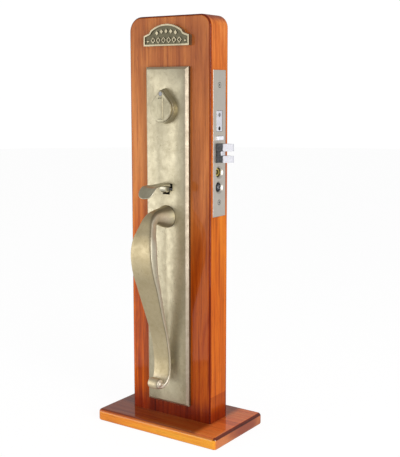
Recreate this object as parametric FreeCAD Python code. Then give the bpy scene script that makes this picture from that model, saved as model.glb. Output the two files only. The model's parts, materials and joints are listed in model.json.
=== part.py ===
import FreeCAD, Part
import math
import os

from FreeCAD import Vector

# Mortise entry handle set on a wooden display stand.
# Millimetres. Origin: centre of the base's underside. +Z up, the street side faces -Y,
# and the lock's edge faces +X.  "out" is the distance in front of the outer plate's face.

# ---- stand ----
BASE_W, BASE_D, BASE_T = 213.0, 127.0, 18.0
BASE_CORNER, BASE_ROUND, BASE_UNDERCUT = 6.0, 5.0, 3.5
POST_W, POST_T, POST_TOP = 139.7, 44.45, 595.0
POST_CORNER_L, POST_CORNER_R = 20.5, 17.5
POST_ARRIS = 3.2
EDGE_X = POST_W / 2
FRONT_Y = -POST_T / 2
BACK_Y = POST_T / 2
POST_SCREW_X = 42.0

# ---- heights of the hardware's axes above the floor ----
CYLINDER_Z = 467.0
KNOB_Z = 406.5
THUMB_Z = 354.0
GRIP_TOP_Z = 315.5
GRIP_FOOT_Z = 100.0
PLATE_BOLT_Z = 510.0

# ---- outer plate ----
PLATE_W, PLATE_T, PLATE_BEVEL = 73.0, 8.0, 3.5
PLATE_Z0, PLATE_Z1 = 39.0, 525.0
FACE_Y = FRONT_Y - PLATE_T
SLOT_HALF_W, SLOT_Z0, SLOT_Z1 = 11.0, 352.6, 362.6
NOTCH_HALF_W, NOTCH_Z0 = 6.2, 347.2

# ---- plaque ----
PLAQUE_HALF_W, PLAQUE_Z0, PLAQUE_SHOULDER, PLAQUE_Z1 = 38.8, 553.5, 567.5, 583.0
PLAQUE_T, PLAQUE_RIM, PLAQUE_FIELD = 7.0, 2.2, 1.6
PLAQUE_PIN_X, PLAQUE_PIN_Z = 32.0, 560.0
ORNAMENT_LOWER_X = (-22.5, -13.5, -4.5, 4.5, 13.5, 22.5)
ORNAMENT_UPPER_X = (-16.0, -8.0, 0.0, 8.0, 16.0)

# ---- lock case ----
FACE_W, FACE_Z0, FACE_Z1, FACE_T = 31.75, 317.4, 520.6, 3.0
FRONT_W, FRONT_INSET, FRONT_T = 29.0, 2.0, 3.0
FACE_BACK_X = EDGE_X - FACE_T
CASE_X1 = FACE_BACK_X - FRONT_T
CASE_X0 = -36.0
CASE_Z0, CASE_Z1 = 346.0, 492.0
CASE_HALF_T = 11.0
CASE_WALL = 1.6
CASE_IN = CASE_HALF_T - CASE_WALL
CASE_GAP = 0.4
CASE_BOSSES = [(-29.0, 352.5), (-29.0, 485.0), (30.0, 352.5), (54.0, 484.0)]
FACE_SCREW_Z = [500.0, 337.5]
CASE_SCREW_Z = [511.5, 326.5]
SLIDE_GAP = 0.35
RUN_GAP = 0.05

# ---- dead bolt and its crank ----
BOLT_Z0, BOLT_Z1, BOLT_HALF_T = 436.4, 465.0, 7.0
BOLT_BACK_X = 22.0
BOLT_THROW = 25.4
CRANK_R = BOLT_THROW / math.sqrt(2.0)
CRANK_PIN_R = 2.5
BOLT_PIN_Z = [459.2, 440.6]
BOLT_PIN_R = 2.8

# ---- latch, its lever and its lifter ----
LATCH_Z0, LATCH_Z1 = 393.5, 419.5
LATCH_Y0, LATCH_Y1 = -7.4, 7.2
LATCH_OUT = 19.5
LATCH_TRAVEL = 19.0
LATCH_BACK_X = 52.0
TONGUE_Z0, TONGUE_Z1 = 403.0, 409.4
TONGUE_PIVOT = (66.0, 3.5)
LEVER_PIVOT = (-13.0, 368.0)
LEVER_LONG, LEVER_SHORT, LEVER_TILT = 33.0, 9.4, 17.0
LEVER_HALF_T = 1.5
LIFTER_TRAVEL = 5.5
STUD_X, STUD_Z = -9.6, 398.0

# ---- auxiliary bolt ----
AUX_Y0, AUX_Y1, AUX_Z0, AUX_Z1 = -8.0, 7.0, 424.3, 430.0
AUX_OUT = 3.0
AUX_AXIS = (-0.5, 427.15)

# ---- stop buttons ----
BUTTON_Z = [379.7, 358.8]
BUTTON_R = 6.2
BUTTON_TRAVEL = 3.0
ROCKER_X = 40.0
ROCKER_Z = sum(BUTTON_Z) / 2
ROCKER_ARM = (BUTTON_Z[0] - BUTTON_Z[1]) / 2
ROCKER_TILT = math.degrees(math.atan(BUTTON_TRAVEL / 2 / ROCKER_ARM))

# ---- cylinder ----
BARREL_R, BARREL_RIM_R = 14.6, 16.2
COLLAR_T = 8.5
COVER_GAP, COVER_T, COVER_RIB = 0.3, 4.0, 1.3
COVER_PIVOT_Z = 488.0
COLLAR_FRONT = FACE_Y - COLLAR_T
COVER_BACK = COLLAR_FRONT - COVER_GAP
COVER_FRONT = COVER_BACK - COVER_T
PLUG_R, PLUG_DROP = 6.35, 3.5
PLUG_Z = CYLINDER_Z - PLUG_DROP
BARREL_BACK_Y = -4.0
PIN_COUNT, PIN_PITCH, PIN_R = 5, 4.0, 1.3

# ---- inner trim ----
INNER_W, INNER_T, INNER_Z0, INNER_Z1 = 64.0, 6.0, 290.0, 532.0
INNER_Y = BACK_Y + INNER_T
KNOB_R, KNOB_OUT = 26.0, 54.0
KNOB_SHANK_R = 9.0
SPINDLE = 8.0
TURN_SHANK_R = 6.0
TURN_SPINDLE = 5.0

# ---- thumb latch ----
THUMB_PIVOT_Y = -19.0
THUMB_ARM_HALF_W, THUMB_PAD_HALF_W = 8.0, 13.0
THUMB_LUG_HALF_W = 5.0

# ---- grip, seen from the side: (out, z, thickness) down the front of its ribbon ----
GRIP_SIDE = [
    (31.0, 324.0, 12.0), (41.0, 318.5, 11.5), (51.8, 304.5, 10.5), (57.4, 293.0, 9.6), (60.6, 279.0, 9.6),
    (61.0, 262.0, 9.6), (55.6, 239.4, 7.6), (47.3, 218.5, 6.4), (38.8, 195.0, 5.8), (30.6, 172.0, 5.2),
    (20.4, 143.2, 4.6), (14.6, 113.5, 4.2), (14.0, 95.0, 4.0), (17.2, 85.0, 4.2), (24.0, 79.5, 6.5),
]
# ---- and from the front: (half width, z) ----
GRIP_FRONT = [
    (8.5, 330.0), (9.6, 315.0), (13.6, 304.5), (16.5, 293.0), (18.9, 279.0), (20.0, 262.0), (19.8, 239.0),
    (18.8, 218.0), (17.2, 190.0), (15.8, 160.0), (15.0, 130.0), (15.0, 100.0), (14.6, 60.0),
]
ROLL_OUT, ROLL_Z, ROLL_R, ROLL_HALF_W = 30.0, 77.0, 8.0, 10.8
GRIP_BOLT_R = 3.0

X = Vector(1, 0, 0)
Y = Vector(0, 1, 0)
Z = Vector(0, 0, 1)


# ---------------------------------------------------------------- helpers
def block(x0, x1, y0, y1, z0, z1):
    return Part.makeBox(x1 - x0, y1 - y0, z1 - z0, Vector(x0, y0, z0))


def rod_x(x0, x1, y, z, r):
    return Part.makeCylinder(r, x1 - x0, Vector(x0, y, z), X)


def rod_y(y0, y1, x, z, r):
    return Part.makeCylinder(r, y1 - y0, Vector(x, y0, z), Y)


def rod_z(z0, z1, x, y, r):
    return Part.makeCylinder(r, z1 - z0, Vector(x, y, z0), Z)


def cone_x(x0, x1, y, z, r0, r1):
    return Part.makeCone(r0, r1, x1 - x0, Vector(x0, y, z), X)


def cone_y(y0, y1, x, z, r0, r1):
    return Part.makeCone(r0, r1, y1 - y0, Vector(x, y0, z), Y)


def prism(points, direction):
    """Straight-sided outline, given as 3-D points, pushed along a vector."""
    return Part.Face(Part.makePolygon(points + points[:1])).extrude(direction)


def prism_z(points, z0, z1):
    return prism([Vector(x, y, z0) for x, y in points], Z * (z1 - z0))


def prism_y(points, y0, y1):
    return prism([Vector(x, y0, z) for x, z in points], Y * (y1 - y0))


def curve(points):
    spline = Part.BSplineCurve()
    spline.interpolate(points)
    return spline.toShape()


def bar_xz(a, b, half_w, y0, y1):
    """Flat bar with round ends between two (x, z) points, on a layer y0 to y1."""
    ax, az = a
    bx, bz = b
    length = math.hypot(bx - ax, bz - az)
    nx, nz = -(bz - az) / length * half_w, (bx - ax) / length * half_w
    sides = [(ax + nx, az + nz), (bx + nx, bz + nz), (bx - nx, bz - nz), (ax - nx, az - nz)]
    ends = [rod_y(y0, y1, ax, az, half_w), rod_y(y0, y1, bx, bz, half_w)]
    return prism_y(sides, y0, y1).multiFuse(ends).removeSplitter()


def fillet_where(shape, radius, wanted):
    return shape.makeFillet(radius, [e for e in shape.Edges if wanted(e)])


def along(edge, axis):
    if not isinstance(edge.Curve, Part.Line):
        return False
    return abs(abs(edge.tangentAt(edge.FirstParameter).dot(axis)) - 1) < 1e-6


def group(solids):
    return Part.makeCompound(solids)


def save(node, shape):
    solids = shape.Solids
    assert solids and all(s.isValid() for s in solids), node
    out = solids[0] if len(solids) == 1 else group(solids)
    out.exportStep(f"parts/{node}.step")


# ---------------------------------------------------------------- stand
def base_board():
    half_w, half_d = BASE_W / 2, BASE_D / 2
    board = block(-half_w, half_w, -half_d, half_d, 0, BASE_T)
    board = fillet_where(board, BASE_CORNER, lambda e: along(e, Z))
    board = fillet_where(board, BASE_ROUND, lambda e: e.BoundBox.ZMin > BASE_T - 0.01)
    board = fillet_where(board, BASE_UNDERCUT, lambda e: e.BoundBox.ZMax < 0.01)
    for x in (-POST_SCREW_X, POST_SCREW_X):
        board = board.cut(rod_z(0, BASE_T, x, 0, 2.5)).cut(rod_z(0, 8, x, 0, 6.0))
    return board


def post_screws():
    def screw(x):
        head = rod_z(4.0, 8.0, x, 0, 5.5)
        slot = block(x - 5, x + 5, -0.7, 0.7, 4.0, 5.6)
        return head.cut(slot).fuse(rod_z(8.0, 66.0, x, 0, 2.5)).removeSplitter()
    return group([screw(-POST_SCREW_X), screw(POST_SCREW_X)])


def post_body():
    x, top = EDGE_X, POST_TOP

    def corner(side, r):
        """Quarter circle at a top corner, from the side edge to the top edge."""
        s = r * (1 - math.sqrt(0.5))
        points = [(x, top - r), (x - s, top - s), (x - r, top)]
        return [Vector(side * px, FRONT_Y, pz) for px, pz in points]
    right, left = corner(1, POST_CORNER_R), corner(-1, POST_CORNER_L)
    low_l, low_r = Vector(-x, FRONT_Y, BASE_T), Vector(x, FRONT_Y, BASE_T)
    lines = [Part.makeLine(low_l, low_r), Part.makeLine(low_r, right[0]), Part.Arc(*right).toShape(),
             Part.makeLine(right[2], left[2]), Part.Arc(*reversed(left)).toShape(),
             Part.makeLine(left[0], low_l)]
    body = Part.Face(Part.Wire(lines)).extrude(Y * POST_T)

    def on_face_outline(e):
        box = e.BoundBox
        flat = box.YLength < 0.01
        return flat and box.ZMax > BASE_T + 0.1
    return fillet_where(body, POST_ARRIS, on_face_outline)


def display_post():
    g = CASE_GAP
    post = post_body()
    pocket = block(CASE_X0 - g, CASE_X1, -CASE_HALF_T - g, CASE_HALF_T + g, CASE_Z0 - g, CASE_Z1 + g)
    front = block(CASE_X1, FACE_BACK_X, -FRONT_W / 2, FRONT_W / 2,
                  FACE_Z0 + FRONT_INSET, FACE_Z1 - FRONT_INSET)
    face = block(FACE_BACK_X, EDGE_X + 1, -FACE_W / 2, FACE_W / 2, FACE_Z0, FACE_Z1)
    thumb = block(-24, 24, FRONT_Y - 1, -CASE_HALF_T, 343, 367)
    bores = [
        rod_y(FRONT_Y - 1, 0, 0, CYLINDER_Z, 16.0),
        rod_y(0, BACK_Y + 1, 0, CYLINDER_Z, 8.0),
        rod_y(0, BACK_Y + 1, 0, KNOB_Z, 12.0),
        rod_y(FRONT_Y - 1, BACK_Y + 1, 0, PLATE_BOLT_Z, 2.5),
        rod_y(FRONT_Y - 1, BACK_Y + 1, 0, GRIP_TOP_Z, GRIP_BOLT_R),
        rod_y(FRONT_Y - 1, BACK_Y + 1, 0, GRIP_FOOT_Z, GRIP_BOLT_R),
    ]
    bores += [rod_z(BASE_T - 1, 66, x, 0, 2.5) for x in (-POST_SCREW_X, POST_SCREW_X)]
    bores += [rod_x(CASE_X1 - 32, CASE_X1 + 1, 0, z, 2.2) for z in CASE_SCREW_Z]
    bores += [rod_x(CASE_X1 - 9, CASE_X1 + 1, 0, z, 2.0) for z in FACE_SCREW_Z]
    bores += [rod_y(FRONT_Y - 1, FRONT_Y + 8, x, PLAQUE_PIN_Z, 1.2) for x in (-PLAQUE_PIN_X, PLAQUE_PIN_X)]
    return post.cut(pocket.multiFuse([front, face, thumb] + bores))


# ---------------------------------------------------------------- plaque
def plaque_outline(y):
    """Rectangle with sloped shoulders, two small coves and a round-topped dome."""
    w, z0, zs, z1 = PLAQUE_HALF_W, PLAQUE_Z0, PLAQUE_SHOULDER, PLAQUE_Z1
    slope, cove_mid, cove = (31.5, zs + 2.4), (28.6, zs + 4.0), (26.8, zs + 7.0)

    def p(x, z):
        return Vector(x, y, z)

    def side(sign):
        return [Part.makeLine(p(sign * w, z0), p(sign * w, zs)),
                Part.makeLine(p(sign * w, zs), p(sign * slope[0], slope[1])),
                Part.Arc(p(sign * slope[0], slope[1]), p(sign * cove_mid[0], cove_mid[1]),
                         p(sign * cove[0], cove[1])).toShape()]
    dome = Part.Arc(p(cove[0], cove[1]), p(0, z1), p(-cove[0], cove[1])).toShape()
    bottom = Part.makeLine(p(-w, z0), p(w, z0))
    return Part.Wire(Part.sortEdges([bottom] + side(1) + [dome] + side(-1))[0])


def lozenge(floor_y, x, z, half_w, half_h, stroke):
    """Raised diamond on the plaque's field; a stroke makes it an open frame."""
    def diamond(w, h):
        pts = [Vector(x - w, 0, z), Vector(x, 0, z - h), Vector(x + w, 0, z), Vector(x, 0, z + h)]
        return Part.Face(Part.makePolygon(pts + pts[:1])).extrude(Y * 1.7)
    shape = diamond(half_w, half_h)
    if stroke:
        shape = shape.cut(diamond(half_w - stroke, half_h - stroke))
    shape.translate(Y * (floor_y - 1.2))
    return shape


def name_plaque():
    front = FRONT_Y - PLAQUE_T
    body = Part.Face(plaque_outline(front)).extrude(Y * PLAQUE_T)
    inner = plaque_outline(front - 1).makeOffset2D(-PLAQUE_RIM)
    plaque = body.cut(Part.Face(inner).extrude(Y * (1 + PLAQUE_FIELD)))
    floor_y = front + PLAQUE_FIELD
    lower = [(x, PLAQUE_Z0 + 7.8, 3.9, 4.4, 1.5) for x in ORNAMENT_LOWER_X]
    upper = [(x, PLAQUE_Z1 - 9.6 - 0.009 * x * x, 2.6, 3.2, 0.0) for x in ORNAMENT_UPPER_X]
    relief = [lozenge(floor_y, *spot) for spot in lower + upper]
    plaque = plaque.multiFuse(relief).removeSplitter()
    for x in (-PLAQUE_PIN_X, PLAQUE_PIN_X):
        plaque = plaque.cut(rod_y(front - 1, FRONT_Y + 1, x, PLAQUE_PIN_Z, 1.2))
    return plaque


def plaque_pins():
    floor_y = FRONT_Y - PLAQUE_T + PLAQUE_FIELD
    pins = []
    for x in (-PLAQUE_PIN_X, PLAQUE_PIN_X):
        head = cone_y(floor_y - 1.3, floor_y, x, PLAQUE_PIN_Z, 1.2, 2.2)
        pins.append(head.fuse(rod_y(floor_y, FRONT_Y + 8, x, PLAQUE_PIN_Z, 1.2)).removeSplitter())
    return group(pins)


# ---------------------------------------------------------------- plates
def bevelled_plate(half_w, z0, z1, back_y, front_y, bevel):
    """Flat plate whose front edges are bevelled at 45 degrees; front_y is the face."""
    sign = 1 if front_y > back_y else -1
    wall_y = front_y - sign * bevel

    def ring(y, inset):
        x = half_w - inset
        pts = [Vector(-x, y, z0 + inset), Vector(x, y, z0 + inset), Vector(x, y, z1 - inset),
               Vector(-x, y, z1 - inset)]
        return Part.makePolygon(pts + pts[:1])
    wall = Part.Face(ring(back_y, 0)).extrude(Y * (wall_y - back_y))
    cap = Part.makeLoft([ring(wall_y, 0), ring(front_y, bevel)], True, True)
    return wall.fuse(cap).removeSplitter()


def outer_plate():
    plate = bevelled_plate(PLATE_W / 2, PLATE_Z0, PLATE_Z1, FRONT_Y, FACE_Y, PLATE_BEVEL)
    through = [
        rod_y(FACE_Y - 1, FRONT_Y + 1, 0, CYLINDER_Z, BARREL_R),
        block(-SLOT_HALF_W, SLOT_HALF_W, FACE_Y - 1, FRONT_Y + 1, SLOT_Z0, SLOT_Z1),
        block(-NOTCH_HALF_W, NOTCH_HALF_W, FACE_Y - 1, FRONT_Y + 1, NOTCH_Z0, SLOT_Z0 + 1),
        rod_y(FACE_Y - 1, FRONT_Y + 1, 0, GRIP_TOP_Z, GRIP_BOLT_R),
        rod_y(FACE_Y - 1, FRONT_Y + 1, 0, GRIP_FOOT_Z, GRIP_BOLT_R),
        rod_y(FACE_Y + 2.5, FRONT_Y + 1, 0, PLATE_BOLT_Z, 2.5),
    ]
    through += [rod_y(FRONT_Y - 4, FRONT_Y + 1, x, THUMB_Z, 1.5) for x in (-18, 18)]
    return plate.cut(through[0].multiFuse(through[1:]))


def inner_plate():
    plate = bevelled_plate(INNER_W / 2, INNER_Z0, INNER_Z1, BACK_Y, INNER_Y, 2.5)
    through = [
        rod_y(BACK_Y - 1, INNER_Y + 1, 0, CYLINDER_Z, TURN_SHANK_R + RUN_GAP),
        rod_y(BACK_Y - 1, INNER_Y + 1, 0, KNOB_Z, KNOB_SHANK_R + 1),
        rod_y(BACK_Y - 1, INNER_Y + 1, 0, PLATE_BOLT_Z, 2.5),
        rod_y(BACK_Y - 1, INNER_Y + 1, 0, GRIP_TOP_Z, GRIP_BOLT_R),
    ]
    return plate.cut(through[0].multiFuse(through[1:]))


def bolt_to_front(z, r, tip_y, seat_y):
    """Through bolt from the inner side: oval head on seat_y, shank to tip_y."""
    head = cone_y(seat_y, seat_y + 2.4, 0, z, r * 2.1, r * 1.5)
    head = head.cut(block(-r * 2, r * 2, seat_y + 1.3, seat_y + 3, z - 0.6, z + 0.6))
    return head.fuse(rod_y(tip_y, seat_y, 0, z, r)).removeSplitter()


def plate_bolt():
    return bolt_to_front(PLATE_BOLT_Z, 2.5, FACE_Y + 2.5, INNER_Y)


def grip_bolts():
    upper = bolt_to_front(GRIP_TOP_Z, GRIP_BOLT_R, FACE_Y - 12, INNER_Y)
    lower = bolt_to_front(GRIP_FOOT_Z, GRIP_BOLT_R, FACE_Y - 8, BACK_Y + 4)
    return group([upper, lower])


def lower_rosette():
    disc = rod_y(BACK_Y, BACK_Y + 2, 0, GRIP_FOOT_Z, 15)
    disc = disc.fuse(cone_y(BACK_Y + 2, BACK_Y + 4, 0, GRIP_FOOT_Z, 15, 12)).removeSplitter()
    return disc.cut(rod_y(BACK_Y - 1, BACK_Y + 5, 0, GRIP_FOOT_Z, GRIP_BOLT_R))


# ---------------------------------------------------------------- grip
def ribbon_side():
    """Side view of the ribbon: a front curve and a back curve set off by its thickness."""
    front = [Vector(0, FACE_Y - out, z) for out, z, _ in GRIP_SIDE]
    back = []
    for i, (out, z, thick) in enumerate(GRIP_SIDE):
        before = front[max(i - 1, 0)]
        after = front[min(i + 1, len(front) - 1)]
        tangent = (after - before).normalize()
        back.append(front[i] + Vector(0, -tangent.z, tangent.y) * thick)
    edges = [curve(front), Part.makeLine(front[-1], back[-1]), curve(back[::-1]),
             Part.makeLine(back[0], front[0])]
    return Part.Face(Part.Wire(edges))


def ribbon_front():
    right = [Vector(x, 0, z) for x, z in GRIP_FRONT]
    left = [Vector(-x, 0, z) for x, z in GRIP_FRONT]
    edges = [curve(right), Part.makeLine(right[-1], left[-1]), curve(left[::-1]),
             Part.makeLine(left[0], right[0])]
    return Part.Face(Part.Wire(edges))


def neck():
    """Trumpet that flares onto the plate, with a rounded outer end."""
    flare = [(16.0, 0.0), (15.8, 2.0), (14.6, 8.0), (11.9, 16.5), (10.2, 23.5), (9.6, 32.0)]
    edge = curve([Vector(0, FACE_Y - out, GRIP_TOP_Z + r) for r, out in flare])
    tip = Vector(0, FACE_Y - flare[-1][1], GRIP_TOP_Z)
    root = Vector(0, FACE_Y, GRIP_TOP_Z)
    wire = Part.Wire([edge, Part.makeLine(edge.lastVertex().Point, tip), Part.makeLine(tip, root),
                      Part.makeLine(root, edge.firstVertex().Point)])
    body = Part.Face(wire).revolve(root, Y, 360)
    body = body.Solids[0] if body.Solids else Part.Solid(body)
    ball = Part.makeSphere(flare[-1][0], tip)
    return body.fuse(ball)


def grip_handle():
    side = ribbon_side().extrude(X * 48)
    side.translate(X * -24)
    outline = ribbon_front().extrude(Y * 80)
    outline.translate(Y * (FACE_Y - 75))
    ribbon = side.common(outline)
    roll = rod_x(-ROLL_HALF_W, ROLL_HALF_W, FACE_Y - ROLL_OUT, ROLL_Z, ROLL_R)
    roll = fillet_where(roll, 2.5, lambda e: e.Length > 1)
    foot = cone_y(FACE_Y - 13.0, FACE_Y, 0, GRIP_FOOT_Z, 6.0, 6.8)
    grip = ribbon.multiFuse([neck(), roll, foot]).removeSplitter()
    holes = rod_y(FACE_Y - 12, FACE_Y + 1, 0, GRIP_TOP_Z, GRIP_BOLT_R)
    return grip.cut(holes).cut(rod_y(FACE_Y - 8, FACE_Y + 1, 0, GRIP_FOOT_Z, GRIP_BOLT_R))


# ---------------------------------------------------------------- thumb latch
def prism_x(half_w, corners):
    """Solid of constant section along X; corners are (y, z)."""
    pts = [Vector(-half_w, y, z) for y, z in corners]
    return Part.Face(Part.makePolygon(pts + pts[:1])).extrude(X * 2 * half_w)


def thumb_latch():
    """Pad and arched arm in front of the plate, hub on the pin, and a tail that lifts."""
    top = [(-1.0, 361.4), (8.0, 362.4), (20.0, 363.0), (30.0, 362.5), (37.0, 360.9), (43.5, 356.9),
           (49.0, 350.9), (54.4, 344.4)]
    under = [(51.6, 342.6), (46.2, 348.9), (41.2, 354.0), (35.5, 357.4), (28.5, 359.0), (20.0, 359.4),
             (13.0, 358.8), (6.0, 357.2), (-1.0, 356.3)]

    def p(out, z):
        return Vector(0, FACE_Y - out, z)
    top_pts = [p(*q) for q in top]
    under_pts = [p(*q) for q in under]
    wire = Part.Wire([curve(top_pts), Part.makeLine(top_pts[-1], under_pts[0]), curve(under_pts),
                      Part.makeLine(under_pts[-1], top_pts[0])])
    side = Part.Face(wire).extrude(X * 30)
    side.translate(X * -15)
    arm, pad = THUMB_ARM_HALF_W, THUMB_PAD_HALF_W
    half = [(arm, -1.5), (arm, 10.0), (arm + 0.4, 20.0), (pad - 2.2, 31.0), (pad - 0.4, 40.0),
            (pad - 1.2, 48.0)]
    right = [Vector(x, FACE_Y - out, 340) for x, out in half]
    left = [Vector(-x, FACE_Y - out, 340) for x, out in half]
    nose = Part.Arc(right[-1], Vector(0, FACE_Y - 54.0, 340), left[-1]).toShape()
    plan = Part.Face(Part.Wire([curve(right), nose, curve(left[::-1]), Part.makeLine(left[0], right[0])]))
    pad_arm = side.common(plan.extrude(Z * 30))
    hub = rod_x(-THUMB_LUG_HALF_W, THUMB_LUG_HALF_W, THUMB_PIVOT_Y, THUMB_Z, 5.6)
    root = prism_x(arm, [(FACE_Y - 0.5, 356.3), (THUMB_PIVOT_Y, 356.0), (THUMB_PIVOT_Y, 359.4),
                         (FACE_Y - 0.5, 361.5)])
    lug = prism_x(THUMB_LUG_HALF_W, [(FACE_Y - 8.0, 358.0), (FACE_Y - 5.6, 353.0), (FACE_Y - 2.6, 351.2),
                                     (THUMB_PIVOT_Y, THUMB_Z - 2.0), (THUMB_PIVOT_Y, 358.0)])
    tail = block(-4, 4, THUMB_PIVOT_Y, THUMB_PIVOT_Y + 21.5, THUMB_Z - 2.5, THUMB_Z + 2.5)
    latch = pad_arm.multiFuse([hub, root, lug, tail]).removeSplitter()
    return latch.cut(rod_x(-arm - 1, arm + 1, THUMB_PIVOT_Y, THUMB_Z, 2.0 + RUN_GAP))


def thumb_bracket():
    ears = []
    for sign in (-1, 1):
        near, far, foot = sorted((sign * 10.6, sign * 13.0)), sign * 13.0, sign * 23.0
        ear = block(near[0], near[1], FRONT_Y, -13.5, 347.0, 361.0)
        low, high = sorted((far, foot))
        flange = block(low, high, FRONT_Y, FRONT_Y + 1.8, 347.0, 361.0)
        ear = ear.fuse(flange).removeSplitter()
        ear = ear.cut(rod_x(-20, 20, THUMB_PIVOT_Y, THUMB_Z, 2.0))
        ears.append(ear.cut(rod_y(FRONT_Y - 1, -18, sign * 18, THUMB_Z, 1.5)))
    return group(ears)


def bracket_screws():
    screws = []
    for x in (-18, 18):
        head = rod_y(FRONT_Y + 1.8, FRONT_Y + 3.8, x, THUMB_Z, 2.8)
        screws.append(head.fuse(rod_y(FRONT_Y - 4, FRONT_Y + 1.8, x, THUMB_Z, 1.5)).removeSplitter())
    return group(screws)


def thumb_pivot_pin():
    return rod_x(-13.0, 13.0, THUMB_PIVOT_Y, THUMB_Z, 2.0)


# ---------------------------------------------------------------- cylinder
def teardrop(y, r, tip_z, tip_r):
    """Round body about the cylinder's axis, drawn up to a small round tip."""
    tip_c = tip_z - tip_r
    rise = math.asin((r - tip_r) / (tip_c - CYLINDER_Z))
    c, s = math.cos(rise), math.sin(rise)

    def on(radius, centre, cx, cz):
        return Vector(radius * cx, y, centre + radius * cz)
    big_r, big_l = on(r, CYLINDER_Z, c, s), on(r, CYLINDER_Z, -c, s)
    tip_rt, tip_lt = on(tip_r, tip_c, c, s), on(tip_r, tip_c, -c, s)
    return Part.Wire([
        Part.Arc(big_l, Vector(0, y, CYLINDER_Z - r), big_r).toShape(), Part.makeLine(big_r, tip_rt),
        Part.Arc(tip_rt, Vector(0, y, tip_z), tip_lt).toShape(), Part.makeLine(tip_lt, big_l)])


def cylinder_collar():
    body = Part.makeLoft([teardrop(FACE_Y, 20.6, 496.0, 3.6), teardrop(COLLAR_FRONT, 18.8, 494.0, 3.4)], True)
    body = body.cut(rod_y(COLLAR_FRONT - 1, FACE_Y + 1, 0, CYLINDER_Z, BARREL_R))
    body = body.cut(rod_y(COLLAR_FRONT - 1, COLLAR_FRONT + 2.0, 0, CYLINDER_Z, BARREL_RIM_R))
    return body.cut(rod_y(COLLAR_FRONT - 1, COLLAR_FRONT + 5.0, 0, COVER_PIVOT_Z, 1.8))


def keyhole_cover():
    cover = Part.Face(teardrop(COVER_BACK, 18.2, 493.2, 3.2)).extrude(Y * -COVER_T)
    cover = fillet_where(cover, 1.3, lambda e: e.BoundBox.YMax < COVER_FRONT + 0.01)
    rib = block(-4.5, 4.5, COVER_FRONT - COVER_RIB, COVER_FRONT + 1.0, 452.5, 482.5)
    rib = rib.makeChamfer(1.1, [e for e in rib.Edges if e.BoundBox.YMax < COVER_FRONT - COVER_RIB + 0.01])
    cover = cover.fuse(rib.common(Part.Face(teardrop(COVER_BACK, 17.0, 492.0, 3.0)).extrude(Y * -9)))
    cover = cover.removeSplitter()
    cover = cover.cut(rod_y(COVER_FRONT - 3, COVER_BACK + 1, 0, COVER_PIVOT_Z, 1.8 + RUN_GAP))
    return cover.cut(rod_y(COVER_FRONT - 3, COVER_FRONT + 1.4, 0, COVER_PIVOT_Z, 3.1))


def cover_pivot_screw():
    head = rod_y(COVER_FRONT, COVER_FRONT + 1.2, 0, COVER_PIVOT_Z, 2.8)
    slot = block(-3, 3, COVER_FRONT - 1, COVER_FRONT + 0.7, COVER_PIVOT_Z - 0.5, COVER_PIVOT_Z + 0.5)
    head = head.cut(slot)
    return head.fuse(rod_y(COVER_FRONT + 1.2, COLLAR_FRONT + 5.0, 0, COVER_PIVOT_Z, 1.8)).removeSplitter()


def pin_positions():
    first = COLLAR_FRONT + 7.0
    return [first + PIN_PITCH * i for i in range(PIN_COUNT)]


def cylinder_body():
    barrel = rod_y(COLLAR_FRONT, BARREL_BACK_Y, 0, CYLINDER_Z, BARREL_R)
    barrel = barrel.fuse(rod_y(COLLAR_FRONT, COLLAR_FRONT + 2.0, 0, CYLINDER_Z, BARREL_RIM_R))
    barrel = barrel.removeSplitter().cut(rod_y(COLLAR_FRONT - 1, 0, 0, PLUG_Z, PLUG_R + RUN_GAP))
    for y in pin_positions():
        barrel = barrel.cut(rod_z(PLUG_Z, CYLINDER_Z + 11.0, 0, y, PIN_R))
    return barrel


def driver_pins():
    return group([rod_z(PLUG_Z + PLUG_R + 0.2, CYLINDER_Z + 11.0, 0, y, PIN_R) for y in pin_positions()])


def cylinder_plug():
    plug = rod_y(COLLAR_FRONT, BARREL_BACK_Y, 0, PLUG_Z, PLUG_R)
    plug = plug.cut(block(-0.7, 0.7, COLLAR_FRONT - 1, BARREL_BACK_Y - 3, PLUG_Z - 5.2, PLUG_Z + 3.2))
    for y in pin_positions():
        plug = plug.cut(rod_z(PLUG_Z + 1.4, PLUG_Z + 8.0, 0, y, PIN_R))
    for x in (-3.2, 3.2):
        plug = plug.cut(rod_y(BARREL_BACK_Y - 2.5, 0, x, PLUG_Z, 0.9))
    return plug


def key_pins():
    top = PLUG_Z + math.sqrt(PLUG_R ** 2 - PIN_R ** 2) - 0.1
    lows = [3.4, 4.0, 3.3, 4.4, 3.7]
    return group([rod_z(PLUG_Z + low, top, 0, y, PIN_R) for y, low in zip(pin_positions(), lows)])


def cylinder_cam():
    y0, y1 = BARREL_BACK_Y, BARREL_BACK_Y + 2.4
    cam = rod_y(y0, y1, 0, PLUG_Z, 6.2).fuse(block(-3.6, 3.6, y0, y1, PLUG_Z, PLUG_Z + 12.4)).removeSplitter()
    for x in (-3.2, 3.2):
        cam = cam.cut(rod_y(y0 - 1, y1 + 1, x, PLUG_Z, 0.9))
    return cam


def cam_screws():
    screws = []
    for x in (-3.2, 3.2):
        head = rod_y(BARREL_BACK_Y + 2.4, BARREL_BACK_Y + 3.2, x, PLUG_Z, 1.6)
        shank = rod_y(BARREL_BACK_Y - 2.5, BARREL_BACK_Y + 2.4, x, PLUG_Z, 0.9)
        screws.append(head.fuse(shank).removeSplitter())
    return group(screws)


def cylinder_set_screw():
    return rod_x(BARREL_R - 0.1, FACE_BACK_X - 0.3, -6.5, CYLINDER_Z + 3.0, 1.6)


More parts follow.
